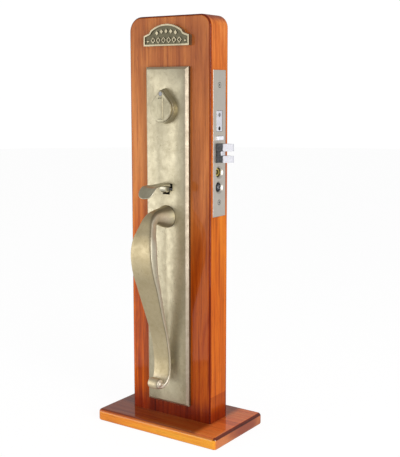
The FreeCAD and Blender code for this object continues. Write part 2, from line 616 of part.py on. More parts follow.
# ---------------------------------------------------------------- lock case
def lock_case():
    h, w = CASE_HALF_T, CASE_WALL
    case = block(CASE_X0, CASE_X1, -h, h - w, CASE_Z0, CASE_Z1)
    case = case.cut(block(CASE_X0 + w, CASE_X1 + 1, -h + w, h, CASE_Z0 + w, CASE_Z1 - w))
    bosses = [rod_y(-h, h - w, x, z, 3.2) for x, z in CASE_BOSSES]
    pivots = [rod_y(-h, -h + w + 3.0, x, z, 4.2) for x, z in (LEVER_PIVOT, (ROCKER_X, ROCKER_Z))]
    case = case.multiFuse(bosses + pivots).removeSplitter()
    holes = [rod_y(-4, h + 1, x, z, 1.6) for x, z in CASE_BOSSES]
    holes.append(rod_y(-h - 1, -h + w + 1, 0, CYLINDER_Z, BARREL_R))
    holes.append(block(-7, 7, -h - 1, -h + w + 1, 349.5, 361.5))
    holes.append(rod_y(-h + 1, 0, LEVER_PIVOT[0], LEVER_PIVOT[1], 2.0))
    holes.append(rod_y(-h + 1, 0, ROCKER_X, ROCKER_Z, 2.0))
    return case.cut(holes[0].multiFuse(holes[1:]))


def case_cover():
    h, w = CASE_HALF_T, CASE_WALL
    cover = block(CASE_X0, CASE_X1, h - w, h, CASE_Z0, CASE_Z1)
    latch_tab = block(18.5, 21.5, -3.0, h - w, 401.0, 412.0)
    aux_tab = block(31.0, 34.0, -4.0, h - w, AUX_Z0 - 0.6, AUX_Z1 + 0.6)
    cover = cover.multiFuse([latch_tab, aux_tab]).removeSplitter()
    holes = [rod_y(h - w - 1, h + 1, x, z, 1.6) for x, z in CASE_BOSSES]
    holes.append(rod_y(h - w - 1, h + 1, 0, CYLINDER_Z, TURN_SHANK_R + RUN_GAP))
    holes.append(rod_y(h - w - 1, h + 1, 0, KNOB_Z, 8.0 + RUN_GAP))
    holes.append(rod_x(30, 35, AUX_AXIS[0], AUX_AXIS[1], 2.0 + SLIDE_GAP))
    return cover.cut(holes[0].multiFuse(holes[1:]))


def case_cover_screws():
    screws = []
    for x, z in CASE_BOSSES:
        head = rod_y(CASE_HALF_T, CASE_HALF_T + 0.35, x, z, 2.8)
        screws.append(head.fuse(rod_y(-4, CASE_HALF_T, x, z, 1.6)).removeSplitter())
    return group(screws)


def bolt_openings(x0, x1):
    g = SLIDE_GAP
    return [
        block(x0, x1, -BOLT_HALF_T - g, BOLT_HALF_T + g, BOLT_Z0 - g, BOLT_Z1 + g),
        block(x0, x1, LATCH_Y0 - g, LATCH_Y1 + g, LATCH_Z0 - g, LATCH_Z1 + g),
        block(x0, x1, AUX_Y0 - g, AUX_Y1 + g, AUX_Z0 - g, AUX_Z1 + g),
        rod_x(x0, x1, 0, BUTTON_Z[0], BUTTON_R + 0.5), rod_x(x0, x1, 0, BUTTON_Z[1], BUTTON_R + 0.5),
    ]


def case_front():
    x0, x1 = CASE_X1, FACE_BACK_X
    plate = block(x0, x1, -FRONT_W / 2, FRONT_W / 2, FACE_Z0 + FRONT_INSET, FACE_Z1 - FRONT_INSET)
    holes = bolt_openings(x0 - 1, x1 + 1)
    holes += [rod_x(x0 - 1, x1 + 1, 0, z, 2.0) for z in FACE_SCREW_Z]
    holes += [rod_x(x0 - 1, x1 + 1, 0, z, 2.2).fuse(cone_x(x1 - 2, x1, 0, z, 2.2, 4.2)) for z in CASE_SCREW_Z]
    holes.append(rod_x(x0 - 1, x1 + 1, -6.5, CYLINDER_Z + 3.0, 1.6))
    return plate.cut(holes[0].multiFuse(holes[1:]))


def faceplate():
    x0, x1 = FACE_BACK_X, EDGE_X
    plate = block(x0, x1, -FACE_W / 2, FACE_W / 2, FACE_Z0, FACE_Z1)
    plate = plate.makeChamfer(0.4, [e for e in plate.Edges if e.BoundBox.XMin > x1 - 0.01])
    holes = bolt_openings(x0 - 1, x1 + 1)
    holes += [cone_x(x1 - 1.8, x1 + 0.01, 0, z, BUTTON_R + 0.5, 9.2) for z in BUTTON_Z]
    for z in FACE_SCREW_Z:
        holes.append(rod_x(x0 - 1, x1 + 1, 0, z, 2.0).fuse(cone_x(x1 - 2.2, x1, 0, z, 2.0, 4.0)))
    return plate.cut(holes[0].multiFuse(holes[1:]))


def countersunk(x_tip, x_face, sink, z, r, head_r):
    head = cone_x(x_face - sink, x_face, 0, z, r, head_r)
    slot = block(x_face - 0.8, x_face + 1, -0.5, 0.5, z - head_r, z + head_r)
    return head.cut(slot).fuse(rod_x(x_tip, x_face - sink, 0, z, r)).removeSplitter()


def faceplate_screws():
    return group([countersunk(CASE_X1 - 9, EDGE_X, 2.2, z, 2.0, 4.0) for z in FACE_SCREW_Z])


def case_screws():
    return group([countersunk(CASE_X1 - 32, FACE_BACK_X, 2.0, z, 2.2, 4.2) for z in CASE_SCREW_Z])


# ---------------------------------------------------------------- dead bolt train
def crank_rest():
    return -CRANK_R * math.sqrt(0.5), CYLINDER_Z - CRANK_R * math.sqrt(0.5)


def dead_bolt():
    pin_x, _ = crank_rest()
    bolt = block(BOLT_BACK_X, EDGE_X, -BOLT_HALF_T, BOLT_HALF_T, BOLT_Z0, BOLT_Z1)
    bolt = bolt.makeChamfer(0.5, [e for e in bolt.Edges if e.BoundBox.XMin > EDGE_X - 0.01])
    tail = block(pin_x - 8.0, BOLT_BACK_X + 1, 2.6, 6.6, 441.0, 459.0)
    half_slot = CRANK_PIN_R + 0.9
    slot = block(pin_x - half_slot, pin_x + half_slot, 2, 7, 445.8, 460)
    bolt = bolt.fuse(tail.cut(slot)).removeSplitter()
    for z in BOLT_PIN_Z:
        bolt = bolt.cut(rod_x(EDGE_X - 34, EDGE_X + 1, 0, z, BOLT_PIN_R))
    return bolt


def dead_bolt_pins():
    return group([rod_x(EDGE_X - 34, EDGE_X, 0, z, BOLT_PIN_R) for z in BOLT_PIN_Z])


def turn_hub():
    pin = crank_rest()
    hub = rod_y(6.9, CASE_HALF_T, 0, CYLINDER_Z, TURN_SHANK_R)
    arm = bar_xz((0, CYLINDER_Z), pin, 4.0, 6.9, 8.9)
    crank_pin = rod_y(3.0, 7.5, pin[0], pin[1], CRANK_PIN_R)
    hub = hub.multiFuse([arm, crank_pin]).removeSplitter()
    half = TURN_SPINDLE / 2
    return hub.cut(block(-half, half, 6, CASE_HALF_T + 1, CYLINDER_Z - half, CYLINDER_Z + half))


def turn_spindle():
    half = TURN_SPINDLE / 2
    return block(-half, half, 6.9, INNER_Y + 8.0, CYLINDER_Z - half, CYLINDER_Z + half)


def thumb_turn():
    half = TURN_SPINDLE / 2
    y = INNER_Y + 0.3
    shank = rod_y(BACK_Y - 6, y + 1, 0, CYLINDER_Z, TURN_SHANK_R)
    disc = rod_y(y, y + 3, 0, CYLINDER_Z, 13)
    disc = disc.fuse(cone_y(y + 3, y + 5, 0, CYLINDER_Z, 13, 8))
    wing = bar_xz((0, CYLINDER_Z - 14), (0, CYLINDER_Z + 14), 4.5, y + 4, y + 17)
    wing = fillet_where(wing, 2.0, lambda e: e.BoundBox.YMin > y + 17 - 0.01)
    turn = disc.multiFuse([shank, wing]).removeSplitter()
    return turn.cut(block(-half, half, BACK_Y - 7, INNER_Y + 8.0, CYLINDER_Z - half, CYLINDER_Z + half))


# ---------------------------------------------------------------- latch train
def latch_bolt():
    tip = EDGE_X + LATCH_OUT
    head = prism_z([(LATCH_BACK_X, LATCH_Y0), (EDGE_X + 0.8, LATCH_Y0), (tip, LATCH_Y1 - 3.2),
                    (tip, LATCH_Y1), (LATCH_BACK_X, LATCH_Y1)], LATCH_Z0, LATCH_Z1)
    head = head.cut(block(61.5, tip + 1, LATCH_Y0 - 1, LATCH_Y1 + 1, TONGUE_Z0, TONGUE_Z1))
    bar = block(STUD_X - 3.6, LATCH_BACK_X + 1, -7.2, -4.2, 394.0, 413.0)
    stud = rod_y(-5, LEVER_HALF_T - 0.3, STUD_X, STUD_Z, 2.5)
    latch = head.multiFuse([bar, stud]).removeSplitter()
    return latch.cut(rod_z(TONGUE_Z0 - 5, TONGUE_Z1 + 5, TONGUE_PIVOT[0], TONGUE_PIVOT[1], 1.5))


def tongue_pin():
    return rod_z(TONGUE_Z0 - 5, TONGUE_Z1 + 5, TONGUE_PIVOT[0], TONGUE_PIVOT[1], 1.5)


def antifriction_tongue():
    z0, z1 = TONGUE_Z0 + 0.3, TONGUE_Z1 - 0.3
    px, py = TONGUE_PIVOT
    nose = prism_z([(px - 1.5, -2.0), (EDGE_X + 0.8, LATCH_Y0 + 0.4), (76.2, -3.6), (77.0, 2.6), (70.0, 4.4),
                    (px, py + 2)], z0, z1)
    tongue = nose.fuse(rod_z(z0, z1, px, py, 3.4)).removeSplitter()
    return tongue.cut(rod_z(z0 - 1, z1 + 1, px, py, 1.5 + RUN_GAP))


def retractor_lever():
    px, pz = LEVER_PIVOT
    t = LEVER_HALF_T
    a = math.radians(LEVER_TILT)
    long_end = (px + LEVER_LONG * math.sin(a), pz + LEVER_LONG * math.cos(a))
    short_end = (px + LEVER_SHORT * math.cos(a), pz - LEVER_SHORT * math.sin(a))
    lever = bar_xz(LEVER_PIVOT, long_end, 2.5, -t, t)
    lever = lever.multiFuse([bar_xz(LEVER_PIVOT, short_end, 2.3, -t, t), rod_y(-t, t, px, pz, 4.0)])
    return lever.removeSplitter().cut(rod_y(-9, 9, px, pz, 2.0 + RUN_GAP))


def retractor_pin():
    return rod_y(-CASE_HALF_T + 1, LEVER_HALF_T + 0.6, LEVER_PIVOT[0], LEVER_PIVOT[1], 2.0)


def thumb_lifter():
    t = LEVER_HALF_T
    plate = block(-8.4, 8.4, -t, t, 349.6, 360.2).cut(block(-5, 5, -9, 9, 349, 357.6))
    return plate.fuse(block(-5.2, -2.8, -t, t, 360, 362.2)).removeSplitter()


def knob_hub():
    hub = rod_y(4.4, CASE_HALF_T, 0, KNOB_Z, 8.0)
    arms = bar_xz((0, KNOB_Z - 13), (0, KNOB_Z + 13), 3.0, 4.4, 9.0)
    half = SPINDLE / 2
    hub = hub.fuse(arms).removeSplitter()
    return hub.cut(block(-half, half, 4, CASE_HALF_T + 1, KNOB_Z - half, KNOB_Z + half))


def knob_spindle():
    half = SPINDLE / 2
    return block(-half, half, 4.4, INNER_Y + 34.0, KNOB_Z - half, KNOB_Z + half)


def inner_knob():
    """Turned knob: shank through the bushing, a waist, and a flattened ball."""
    y = INNER_Y
    shank = rod_y(y - 5, y + 12, 0, KNOB_Z, KNOB_SHANK_R)
    side = [(9.0, 11.0), (11.0, 15.5), (17.5, 21.0), (24.0, 28.5), (KNOB_R, 37.0), (23.0, 46.0), (14.5, 51.6)]
    edge = curve([Vector(0, y + out, KNOB_Z + r) for r, out in side])
    rim_r, rim_out = side[-1]
    rise = KNOB_OUT - rim_out
    crown_r = (rise ** 2 + rim_r ** 2) / (2 * rise)
    half_turn = math.asin(rim_r / crown_r) / 2
    crown_mid = (crown_r * math.sin(half_turn), KNOB_OUT - crown_r * (1 - math.cos(half_turn)))
    crown = Part.Arc(Vector(0, y + rim_out, KNOB_Z + rim_r),
                     Vector(0, y + crown_mid[1], KNOB_Z + crown_mid[0]),
                     Vector(0, y + KNOB_OUT, KNOB_Z)).toShape()
    root, end = Vector(0, y + 11.0, KNOB_Z), Vector(0, y + KNOB_OUT, KNOB_Z)
    wire = Part.Wire([edge, crown, Part.makeLine(end, root), Part.makeLine(root, edge.firstVertex().Point)])
    body = Part.Face(wire).revolve(root, Y, 360)
    body = body.Solids[0] if body.Solids else Part.Solid(body)
    half = SPINDLE / 2
    knob = body.fuse(shank).removeSplitter()
    knob = knob.cut(block(-half, half, y - 6, y + 34, KNOB_Z - half, KNOB_Z + half))
    return knob.cut(rod_z(KNOB_Z - 24, KNOB_Z - half, 0, y + 20.0, 2.0))


def knob_set_screw():
    return rod_z(KNOB_Z - 14, KNOB_Z - SPINDLE / 2, 0, INNER_Y + 20.0, 2.0)


def knob_bushing():
    y = INNER_Y
    ring = rod_y(y, y + 3, 0, KNOB_Z, 19).fuse(cone_y(y + 3, y + 8, 0, KNOB_Z, 18, 13))
    ring = ring.fuse(rod_y(BACK_Y + 1, y, 0, KNOB_Z, KNOB_SHANK_R + 1)).removeSplitter()
    return ring.cut(rod_y(BACK_Y, y + 9, 0, KNOB_Z, KNOB_SHANK_R + RUN_GAP))


# ---------------------------------------------------------------- auxiliary bolt
def auxiliary_bolt():
    tip = EDGE_X + AUX_OUT
    head = block(LATCH_BACK_X, tip, AUX_Y0, AUX_Y1, AUX_Z0, AUX_Z1)
    head = head.makeChamfer(0.8, [e for e in head.Edges if e.BoundBox.XMin > tip - 0.01])
    return head.fuse(rod_x(26, LATCH_BACK_X + 1, AUX_AXIS[0], AUX_AXIS[1], 2.0)).removeSplitter()


def coil(x0, x1, y, z, mean_r, wire_r, turns):
    """Compression spring drawn as closed rings, evenly spaced along X."""
    first, last = x0 + wire_r, x1 - wire_r
    step = (last - first) / (turns - 1)
    return group([Part.makeTorus(mean_r, wire_r, Vector(first + step * i, y, z), X) for i in range(turns)])


def latch_spring():
    return coil(21.5, LATCH_BACK_X, 1.6, KNOB_Z, 3.8, 0.5, 10)


def auxiliary_spring():
    return coil(34.0, LATCH_BACK_X, AUX_AXIS[0], AUX_AXIS[1], 2.9, 0.35, 9)


# ---------------------------------------------------------------- stop buttons
def button(i):
    """Index 0 is the upper button, stored pushed in; index 1 is the lower one, out."""
    z = BUTTON_Z[i]
    lean = -BUTTON_TRAVEL / 2 if i == 0 else BUTTON_TRAVEL / 2
    front = EDGE_X - 2.4 + lean
    stem_end = ROCKER_X + 2.0 / math.cos(math.radians(ROCKER_TILT)) + lean + 0.8
    head = rod_x(front - 8, front, 0, z, BUTTON_R)
    head = fillet_where(head, 1.6, lambda e: e.BoundBox.XMin > front - 0.01)
    return head.fuse(rod_x(stem_end, front - 7, 0, z, 3.0)).removeSplitter(), front


def stop_button_upper():
    shape, front = button(0)
    return shape.cut(rod_x(front - 2.0, front + 1, 0, BUTTON_Z[0], 3.4))


def stop_button_lower():
    shape, front = button(1)
    z = BUTTON_Z[1]
    cross = block(front - 1.6, front + 1, -0.9, 0.9, z - 3.6, z + 3.6)
    return shape.cut(cross.fuse(block(front - 1.6, front + 1, -3.6, 3.6, z - 0.9, z + 0.9)))


def stop_rocker():
    a = math.radians(ROCKER_TILT)
    reach = ROCKER_ARM + 2.0
    dx, dz = reach * math.sin(a), reach * math.cos(a)
    bar = bar_xz((ROCKER_X - dx, ROCKER_Z + dz), (ROCKER_X + dx, ROCKER_Z - dz), 2.0, -2.5, 2.5)
    bar = bar.fuse(rod_y(-2.5, 2.5, ROCKER_X - 1.0, ROCKER_Z, 3.4)).removeSplitter()
    return bar.cut(rod_y(-9, 9, ROCKER_X, ROCKER_Z, 1.4 + RUN_GAP))


def rocker_pin():
    pin = rod_y(-CASE_HALF_T + 1, -6.4, ROCKER_X, ROCKER_Z, 2.0)
    return pin.fuse(rod_y(-6.4, 3.2, ROCKER_X, ROCKER_Z, 1.4)).removeSplitter()


NODES = [
    base_board, post_screws, display_post, name_plaque, plaque_pins, outer_plate, inner_plate, plate_bolt,
    grip_bolts, lower_rosette, grip_handle, thumb_latch, thumb_bracket, bracket_screws, thumb_pivot_pin,
    cylinder_collar, keyhole_cover, cover_pivot_screw, cylinder_body, driver_pins, cylinder_plug, key_pins,
    cylinder_cam, cam_screws, cylinder_set_screw, lock_case, case_cover, case_cover_screws, case_front,
    faceplate, faceplate_screws, case_screws, dead_bolt, dead_bolt_pins, turn_hub, turn_spindle, thumb_turn,
    latch_bolt, tongue_pin, antifriction_tongue, retractor_lever, retractor_pin, thumb_lifter, knob_hub,
    knob_spindle, inner_knob, knob_set_screw, knob_bushing, auxiliary_bolt, latch_spring, auxiliary_spring,
    stop_button_upper, stop_button_lower, stop_rocker, rocker_pin,
]

os.makedirs("parts", exist_ok=True)
for build in NODES:
    save(build.__name__, build())
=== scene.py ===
import json
import math

import bmesh
import bpy
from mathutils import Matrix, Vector
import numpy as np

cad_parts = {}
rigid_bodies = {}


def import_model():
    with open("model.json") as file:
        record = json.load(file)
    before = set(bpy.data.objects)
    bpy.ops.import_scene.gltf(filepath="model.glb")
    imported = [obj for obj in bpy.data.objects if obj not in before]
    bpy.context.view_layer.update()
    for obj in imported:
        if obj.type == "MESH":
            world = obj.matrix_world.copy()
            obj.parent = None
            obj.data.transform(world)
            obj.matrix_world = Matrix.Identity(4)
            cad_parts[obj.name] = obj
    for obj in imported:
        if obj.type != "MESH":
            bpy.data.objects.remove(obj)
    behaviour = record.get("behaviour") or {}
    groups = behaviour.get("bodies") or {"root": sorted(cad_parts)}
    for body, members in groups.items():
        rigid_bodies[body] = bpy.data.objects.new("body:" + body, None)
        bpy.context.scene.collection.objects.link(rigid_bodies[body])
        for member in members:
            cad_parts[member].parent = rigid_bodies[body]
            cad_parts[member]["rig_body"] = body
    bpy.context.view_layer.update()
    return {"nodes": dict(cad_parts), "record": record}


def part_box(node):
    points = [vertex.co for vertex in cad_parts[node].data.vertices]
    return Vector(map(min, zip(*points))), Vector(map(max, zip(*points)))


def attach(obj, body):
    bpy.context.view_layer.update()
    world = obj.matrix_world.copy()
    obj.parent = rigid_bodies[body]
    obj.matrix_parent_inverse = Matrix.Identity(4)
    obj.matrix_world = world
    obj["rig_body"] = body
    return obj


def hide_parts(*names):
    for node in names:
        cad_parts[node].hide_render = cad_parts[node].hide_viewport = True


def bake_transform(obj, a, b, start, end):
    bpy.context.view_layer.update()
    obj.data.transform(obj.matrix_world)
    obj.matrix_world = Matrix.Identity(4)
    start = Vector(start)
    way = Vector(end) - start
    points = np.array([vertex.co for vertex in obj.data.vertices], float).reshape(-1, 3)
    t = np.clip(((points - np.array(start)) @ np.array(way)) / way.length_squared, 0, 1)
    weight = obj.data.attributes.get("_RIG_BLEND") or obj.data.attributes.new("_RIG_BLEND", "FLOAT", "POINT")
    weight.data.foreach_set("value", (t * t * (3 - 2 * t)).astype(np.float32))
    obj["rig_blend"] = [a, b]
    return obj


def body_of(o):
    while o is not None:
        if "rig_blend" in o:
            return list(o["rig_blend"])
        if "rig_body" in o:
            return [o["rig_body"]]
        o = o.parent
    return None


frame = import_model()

# A cast bronze entry set on a lacquered wooden display stand.  Metres, unless a name ends in
# _mm or a comment says mm; the row frame has +Z up, the grip towards -Y and the lock's edge
# towards +X.  "out" is the distance in front of the outer plate's face.
MM = 0.001
SIDEWAYS = Vector((1, 0, 0))

PLATE_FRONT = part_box("outer_plate")[0].y
PLAQUE_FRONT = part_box("name_plaque")[0].y


# ---------------------------------------------------------------- mesh helpers
EDGE_ANGLE = math.radians(35)
FLAT_ANGLE = math.radians(1)
SMOOTH_ANGLE_DEG = 40
SAME_POINT = 1e-6


def make_object(name, bm):
    bmesh.ops.recalc_face_normals(bm, faces=bm.faces)
    mesh = bpy.data.meshes.new(name)
    bm.to_mesh(mesh)
    bm.free()
    obj = bpy.data.objects.new(name, mesh)
    bpy.context.scene.collection.objects.link(obj)
    return obj


def shade_smooth(obj, angle_deg=None):
    bpy.context.view_layer.objects.active = obj
    obj.select_set(True)
    if angle_deg is None:
        bpy.ops.object.shade_smooth()
    else:
        bpy.ops.object.shade_smooth_by_angle(angle=math.radians(angle_deg))
    obj.select_set(False)


def apply_modifiers(obj):
    graph = bpy.context.evaluated_depsgraph_get()
    mesh = bpy.data.meshes.new_from_object(obj.evaluated_get(graph))
    obj.modifiers.clear()
    obj.data = mesh


def cast_skin(obj, voxel_mm, smooth_steps):
    """Joins overlapping shells into one skin and rounds every edge, as a casting has them."""
    remesh = obj.modifiers.new("skin", "REMESH")
    remesh.mode = "VOXEL"
    remesh.voxel_size = voxel_mm * MM
    smooth = obj.modifiers.new("round", "SMOOTH")
    smooth.factor = 0.5
    smooth.iterations = smooth_steps
    apply_modifiers(obj)
    shade_smooth(obj)


def loft(bm, rings):
    """Closed tube through rings of points that all have the same count, with both ends capped."""
    loops = [[bm.verts.new(p) for p in ring] for ring in rings]
    count = len(loops[0])
    for low, high in zip(loops, loops[1:]):
        for i in range(count):
            j = (i + 1) % count
            bm.faces.new((low[i], low[j], high[j], high[i]))
    bm.faces.new(loops[0][::-1])
    bm.faces.new(loops[-1])


def around(count):
    """Angles of count points spread evenly round a circle."""
    return [2 * math.pi * k / count for k in range(count)]


def direction_at(points, i):
    """Unit direction of a path at one of its points, from its two neighbours."""
    return (points[min(i + 1, len(points) - 1)] - points[max(i - 1, 0)]).normalized()


def catmull(rows, steps):
    """Rows of numbers run through a smooth curve, with steps new rows to each old one."""
    out = []
    for i in range(len(rows) - 1):
        a, b, c, d = rows[max(i - 1, 0)], rows[i], rows[i + 1], rows[min(i + 2, len(rows) - 1)]
        for s in range(steps):
            t = s / steps
            out.append([0.5 * (2 * q + (r - p) * t + (2 * p - 5 * q + 4 * r - w) * t * t
                               + (3 * q - p - 3 * r + w) * t ** 3) for p, q, r, w in zip(a, b, c, d)])
    out.append(list(rows[-1]))
    return out


def softened(node, width_mm):
    """A copy of a CAD node whose sharp edges are rounded a little, standing for that node."""
    source = frame["nodes"][node]
    bm = bmesh.new()
    bm.from_mesh(source.data)
    bmesh.ops.remove_doubles(bm, verts=bm.verts, dist=SAME_POINT)
    bmesh.ops.dissolve_limit(bm, angle_limit=FLAT_ANGLE, verts=bm.verts, edges=bm.edges)
    obj = make_object(node + "_skin", bm)
    bevel = obj.modifiers.new("edge", "BEVEL")
    bevel.width = width_mm * MM
    bevel.segments = 3
    bevel.limit_method = "ANGLE"
    bevel.angle_limit = EDGE_ANGLE
    bevel.use_clamp_overlap = True
    apply_modifiers(obj)
    shade_smooth(obj, SMOOTH_ANGLE_DEG)
    return obj


# ---------------------------------------------------------------- material helpers
def rgba(colour):
    """A colour of three numbers gets full alpha; anything else is returned as it is."""
    return (*colour, 1.0) if isinstance(colour, tuple) and len(colour) == 3 else colour


class Shader:
    """A material's node tree, with short ways to add and join nodes."""

    def __init__(self, name):
        self.material = bpy.data.materials.new(name)
        self.material.use_nodes = True
        self.tree = self.material.node_tree
        self.tree.nodes.clear()
        output = self.tree.nodes.new("ShaderNodeOutputMaterial")
        self.bsdf = self.tree.nodes.new("ShaderNodeBsdfPrincipled")
        self.tree.links.new(self.bsdf.outputs["BSDF"], output.inputs["Surface"])
        self.coords = self.tree.nodes.new("ShaderNodeTexCoord").outputs["Object"]

    def join(self, value, socket):
        if isinstance(value, bpy.types.NodeSocket):
            self.tree.links.new(value, socket)
        else:
            socket.default_value = value

    def stretched(self, axis, scale, angle=(0, 0, 0)):
        """The object's coordinates, scaled along one axis after a turn."""
        node = self.tree.nodes.new("ShaderNodeMapping")
        node.inputs["Scale"].default_value["XYZ".index(axis)] = scale
        node.inputs["Rotation"].default_value = angle
        self.tree.links.new(self.coords, node.inputs["Vector"])
        return node.outputs["Vector"]

    def noise(self, vector, scale, detail=3.0, rough=0.5, distortion=0.0):
        node = self.tree.nodes.new("ShaderNodeTexNoise")
        self.tree.links.new(vector, node.inputs["Vector"])
        node.inputs["Scale"].default_value = scale
        node.inputs["Detail"].default_value = detail
        node.inputs["Roughness"].default_value = rough
        node.inputs["Distortion"].default_value = distortion
        return node.outputs["Fac"]

    def ramp(self, factor, *stops):
        node = self.tree.nodes.new("ShaderNodeValToRGB")
        self.tree.links.new(factor, node.inputs["Fac"])
        elements = node.color_ramp.elements
        while len(elements) < len(stops):
            elements.new(0.5)
        for element, (place, colour) in zip(elements, stops):
            element.position = place
            element.color = rgba(colour)
        return node.outputs["Color"]

    def grey_ramp(self, factor, low, high, dark=0.0, light=1.0):
        return self.ramp(factor, (low, (dark,) * 3), (high, (light,) * 3))

    def mix(self, factor, a, b, kind="MIX"):
        node = self.tree.nodes.new("ShaderNodeMix")
        node.data_type = "RGBA"
        node.blend_type = kind
        self.join(factor, node.inputs[0])
        self.join(rgba(a), node.inputs[6])
        self.join(rgba(b), node.inputs[7])
        return node.outputs[2]

    def times(self, colour, tint):
        return self.mix(1.0, colour, tint, "MULTIPLY")

    def tinted(self, factor, colour, tint):
        """The colour, multiplied by a tint where factor is 1."""
        return self.mix(factor, colour, self.times(colour, tint))

    def math(self, kind, a, b=0.0):
        node = self.tree.nodes.new("ShaderNodeMath")
        node.operation = kind
        self.join(a, node.inputs[0])
        self.join(b, node.inputs[1])
        return node.outputs[0]

    def both(self, a, b):
        return self.math("MULTIPLY", a, b)

    def wobbled(self, value, field, amount):
        """A value that a noise field shifts by up to half of amount either way."""
        return self.math("ADD", value, self.math("MULTIPLY", self.math("SUBTRACT", field, 0.5), amount))

    def split(self, axis):
        node = self.tree.nodes.new("ShaderNodeSeparateXYZ")
        self.tree.links.new(self.coords, node.inputs[0])
        return node.outputs[axis]

    def squared_gap(self, axis, place):
        """Square of the distance along an axis from one place on it."""
        gap = self.math("ABSOLUTE", self.math("SUBTRACT", self.split(axis), place))
        return self.math("POWER", gap, 2.0)

    def face_direction(self, axis):
        """How far a face turns to an axis: 1 towards its end, 0 along it, -1 away."""
        node = self.tree.nodes.new("ShaderNodeSeparateXYZ")
        source = self.tree.nodes.new("ShaderNodeTexCoord")
        self.tree.links.new(source.outputs["Normal"], node.inputs[0])
        return node.outputs[axis]

    def ranged(self, value, low, high):
        """Smooth step from 0 at low to 1 at high."""
        node = self.tree.nodes.new("ShaderNodeMapRange")
        node.interpolation_type = "SMOOTHSTEP"
        self.tree.links.new(value, node.inputs["Value"])
        node.inputs["From Min"].default_value = low
        node.inputs["From Max"].default_value = high
        return node.outputs["Result"]

    def bump(self, height, strength, distance_mm, under=None):
        node = self.tree.nodes.new("ShaderNodeBump")
        node.inputs["Strength"].default_value = strength
        node.inputs["Distance"].default_value = distance_mm * MM
        self.join(height, node.inputs["Height"])
        if under is not None:
            self.tree.links.new(under, node.inputs["Normal"])
        return node.outputs["Normal"]

    def set(self, **values):
        for key, value in values.items():
            self.join(value, self.bsdf.inputs[key.replace("_", " ")])
        return self.material


# ---------------------------------------------------------------- wood
# heights over which the post's colour changes, on its front and on its sides
FRONT_LOWER, FRONT_UPPER = (0.22, 0.40), (0.45, 0.54)
SIDE_LOWER, SIDE_UPPER = (0.18, 0.34), (0.46, 0.56)
VEINS_FADE = (0.24, 0.42)
SHOULDER_HEIGHT, SHOULDER_PLACE = (0.48, 0.57), (0.061, 0.068)
# X from which the front, low down, is painted lighter towards its left edge and darker elsewhere: painted
# light and shade
LIT_FRONT_LEFT_PLACE = (-0.038, -0.050)
# the foot's painted shade and painted reflection of the base: a ragged fade on the front, a crisp line on
# the sides
FOOT_FADE, FOOT_BLEND, FOOT_LINE = (0.026, 0.060), (0.030, 0.054), (0.0565, 0.0575)
FOOT_RAGGED = 0.030
TURNED_AWAY = (0.60, 0.95)
# X over which the base top's painted shade gives way to a painted sheen, towards its right end
BASE_END_PLACE = (0.064, 0.078)


def grain_fields(s, along):
    """Noise stretched along one axis: broad figure, streaks, fine fibres and pores."""
    return {
        "clouds": s.noise(s.stretched(along, 0.35), 11.0, 3.0, 0.55, 0.4),
        "figure": s.noise(s.stretched(along, 0.12, (0, 0.16, 0)), 44.0, 4.0, 0.55, 0.9),
        "streaks": s.noise(s.stretched(along, 0.028), 210.0, 4.0, 0.6, 0.3),
        "veins": s.noise(s.stretched(along, 0.018), 360.0, 2.0, 0.5, 0.4),
        "fibres": s.noise(s.stretched(along, 0.015), 1200.0, 3.0, 0.6),
        "pores": s.noise(s.stretched(along, 0.05), 1400.0, 2.0, 0.5),
    }


def wood_blend(s, fields):
    blend = s.math("ADD", s.both(fields["figure"], 0.42), s.both(fields["streaks"], 0.32))
    return s.math("ADD", blend, s.both(fields["clouds"], 0.26))


def wood_finish(s, colour, fields, pore_colour, coat):
    """Fine fibres, dark pores and the gloss lacquer over them."""
    colour = s.mix(0.35, colour, s.grey_ramp(fields["fibres"], 0.3, 0.7, 0.55, 1.15), "MULTIPLY")
    colour = s.mix(s.grey_ramp(fields["pores"], 0.30, 0.40, 0.40, 0.0), colour, pore_colour)
    wavy = s.bump(s.noise(s.coords, 28.0, 2.0), 0.08, 1.0)
    normal = s.bump(s.grey_ramp(fields["pores"], 0.30, 0.40), 0.10, 0.10, wavy)
    rough = s.grey_ramp(fields["streaks"], 0.3, 0.7, 0.50, 0.38)
    return s.set(Base_Color=colour, Roughness=rough, Normal=normal, Specular_IOR_Level=0.04,
                 Coat_Weight=coat, Coat_Roughness=0.04, Coat_IOR=1.5)


def post_front(s, blend, height):
    """Front and back: redder and more streaked low down, orange in the middle, brown at the top."""
    low = s.ramp(blend, (0.40, (0.28, 0.032, 0.002)), (0.50, (0.50, 0.082, 0.004)),
                 (0.60, (0.68, 0.150, 0.009)))
    middle = s.ramp(blend, (0.39, (0.40, 0.105, 0.020)), (0.50, (0.60, 0.180, 0.040)),
                    (0.61, (0.76, 0.27, 0.070)))
    high = s.ramp(blend, (0.40, (0.33, 0.080, 0.022)), (0.50, (0.48, 0.138, 0.034)),
                  (0.60, (0.66, 0.225, 0.055)))
    # painted light: low on the front, lighter at the left edge and darker elsewhere
    lit_left = s.ranged(s.split("X"), *LIT_FRONT_LEFT_PLACE)
    low = s.mix(lit_left, s.times(low, (0.84, 0.76, 0.70)), s.times(low, (1.70, 1.90, 0.9)))
    upper = s.mix(s.ranged(height, *FRONT_UPPER), middle, high)
    return s.mix(s.ranged(height, *FRONT_LOWER), low, upper)


def post_side(s, blend, height):
    """Both long sides are coloured lighter than the front."""
    side = s.ramp(blend, (0.38, (0.36, 0.060, 0.004)), (0.49, (0.66, 0.150, 0.008)),
                  (0.60, (0.82, 0.235, 0.016)))
    side = s.mix(s.ranged(height, *SIDE_LOWER), s.times(side, (0.88, 0.70, 0.50)), side)
    return s.tinted(s.ranged(height, *SIDE_UPPER), side, (1.0, 1.10, 3.50))


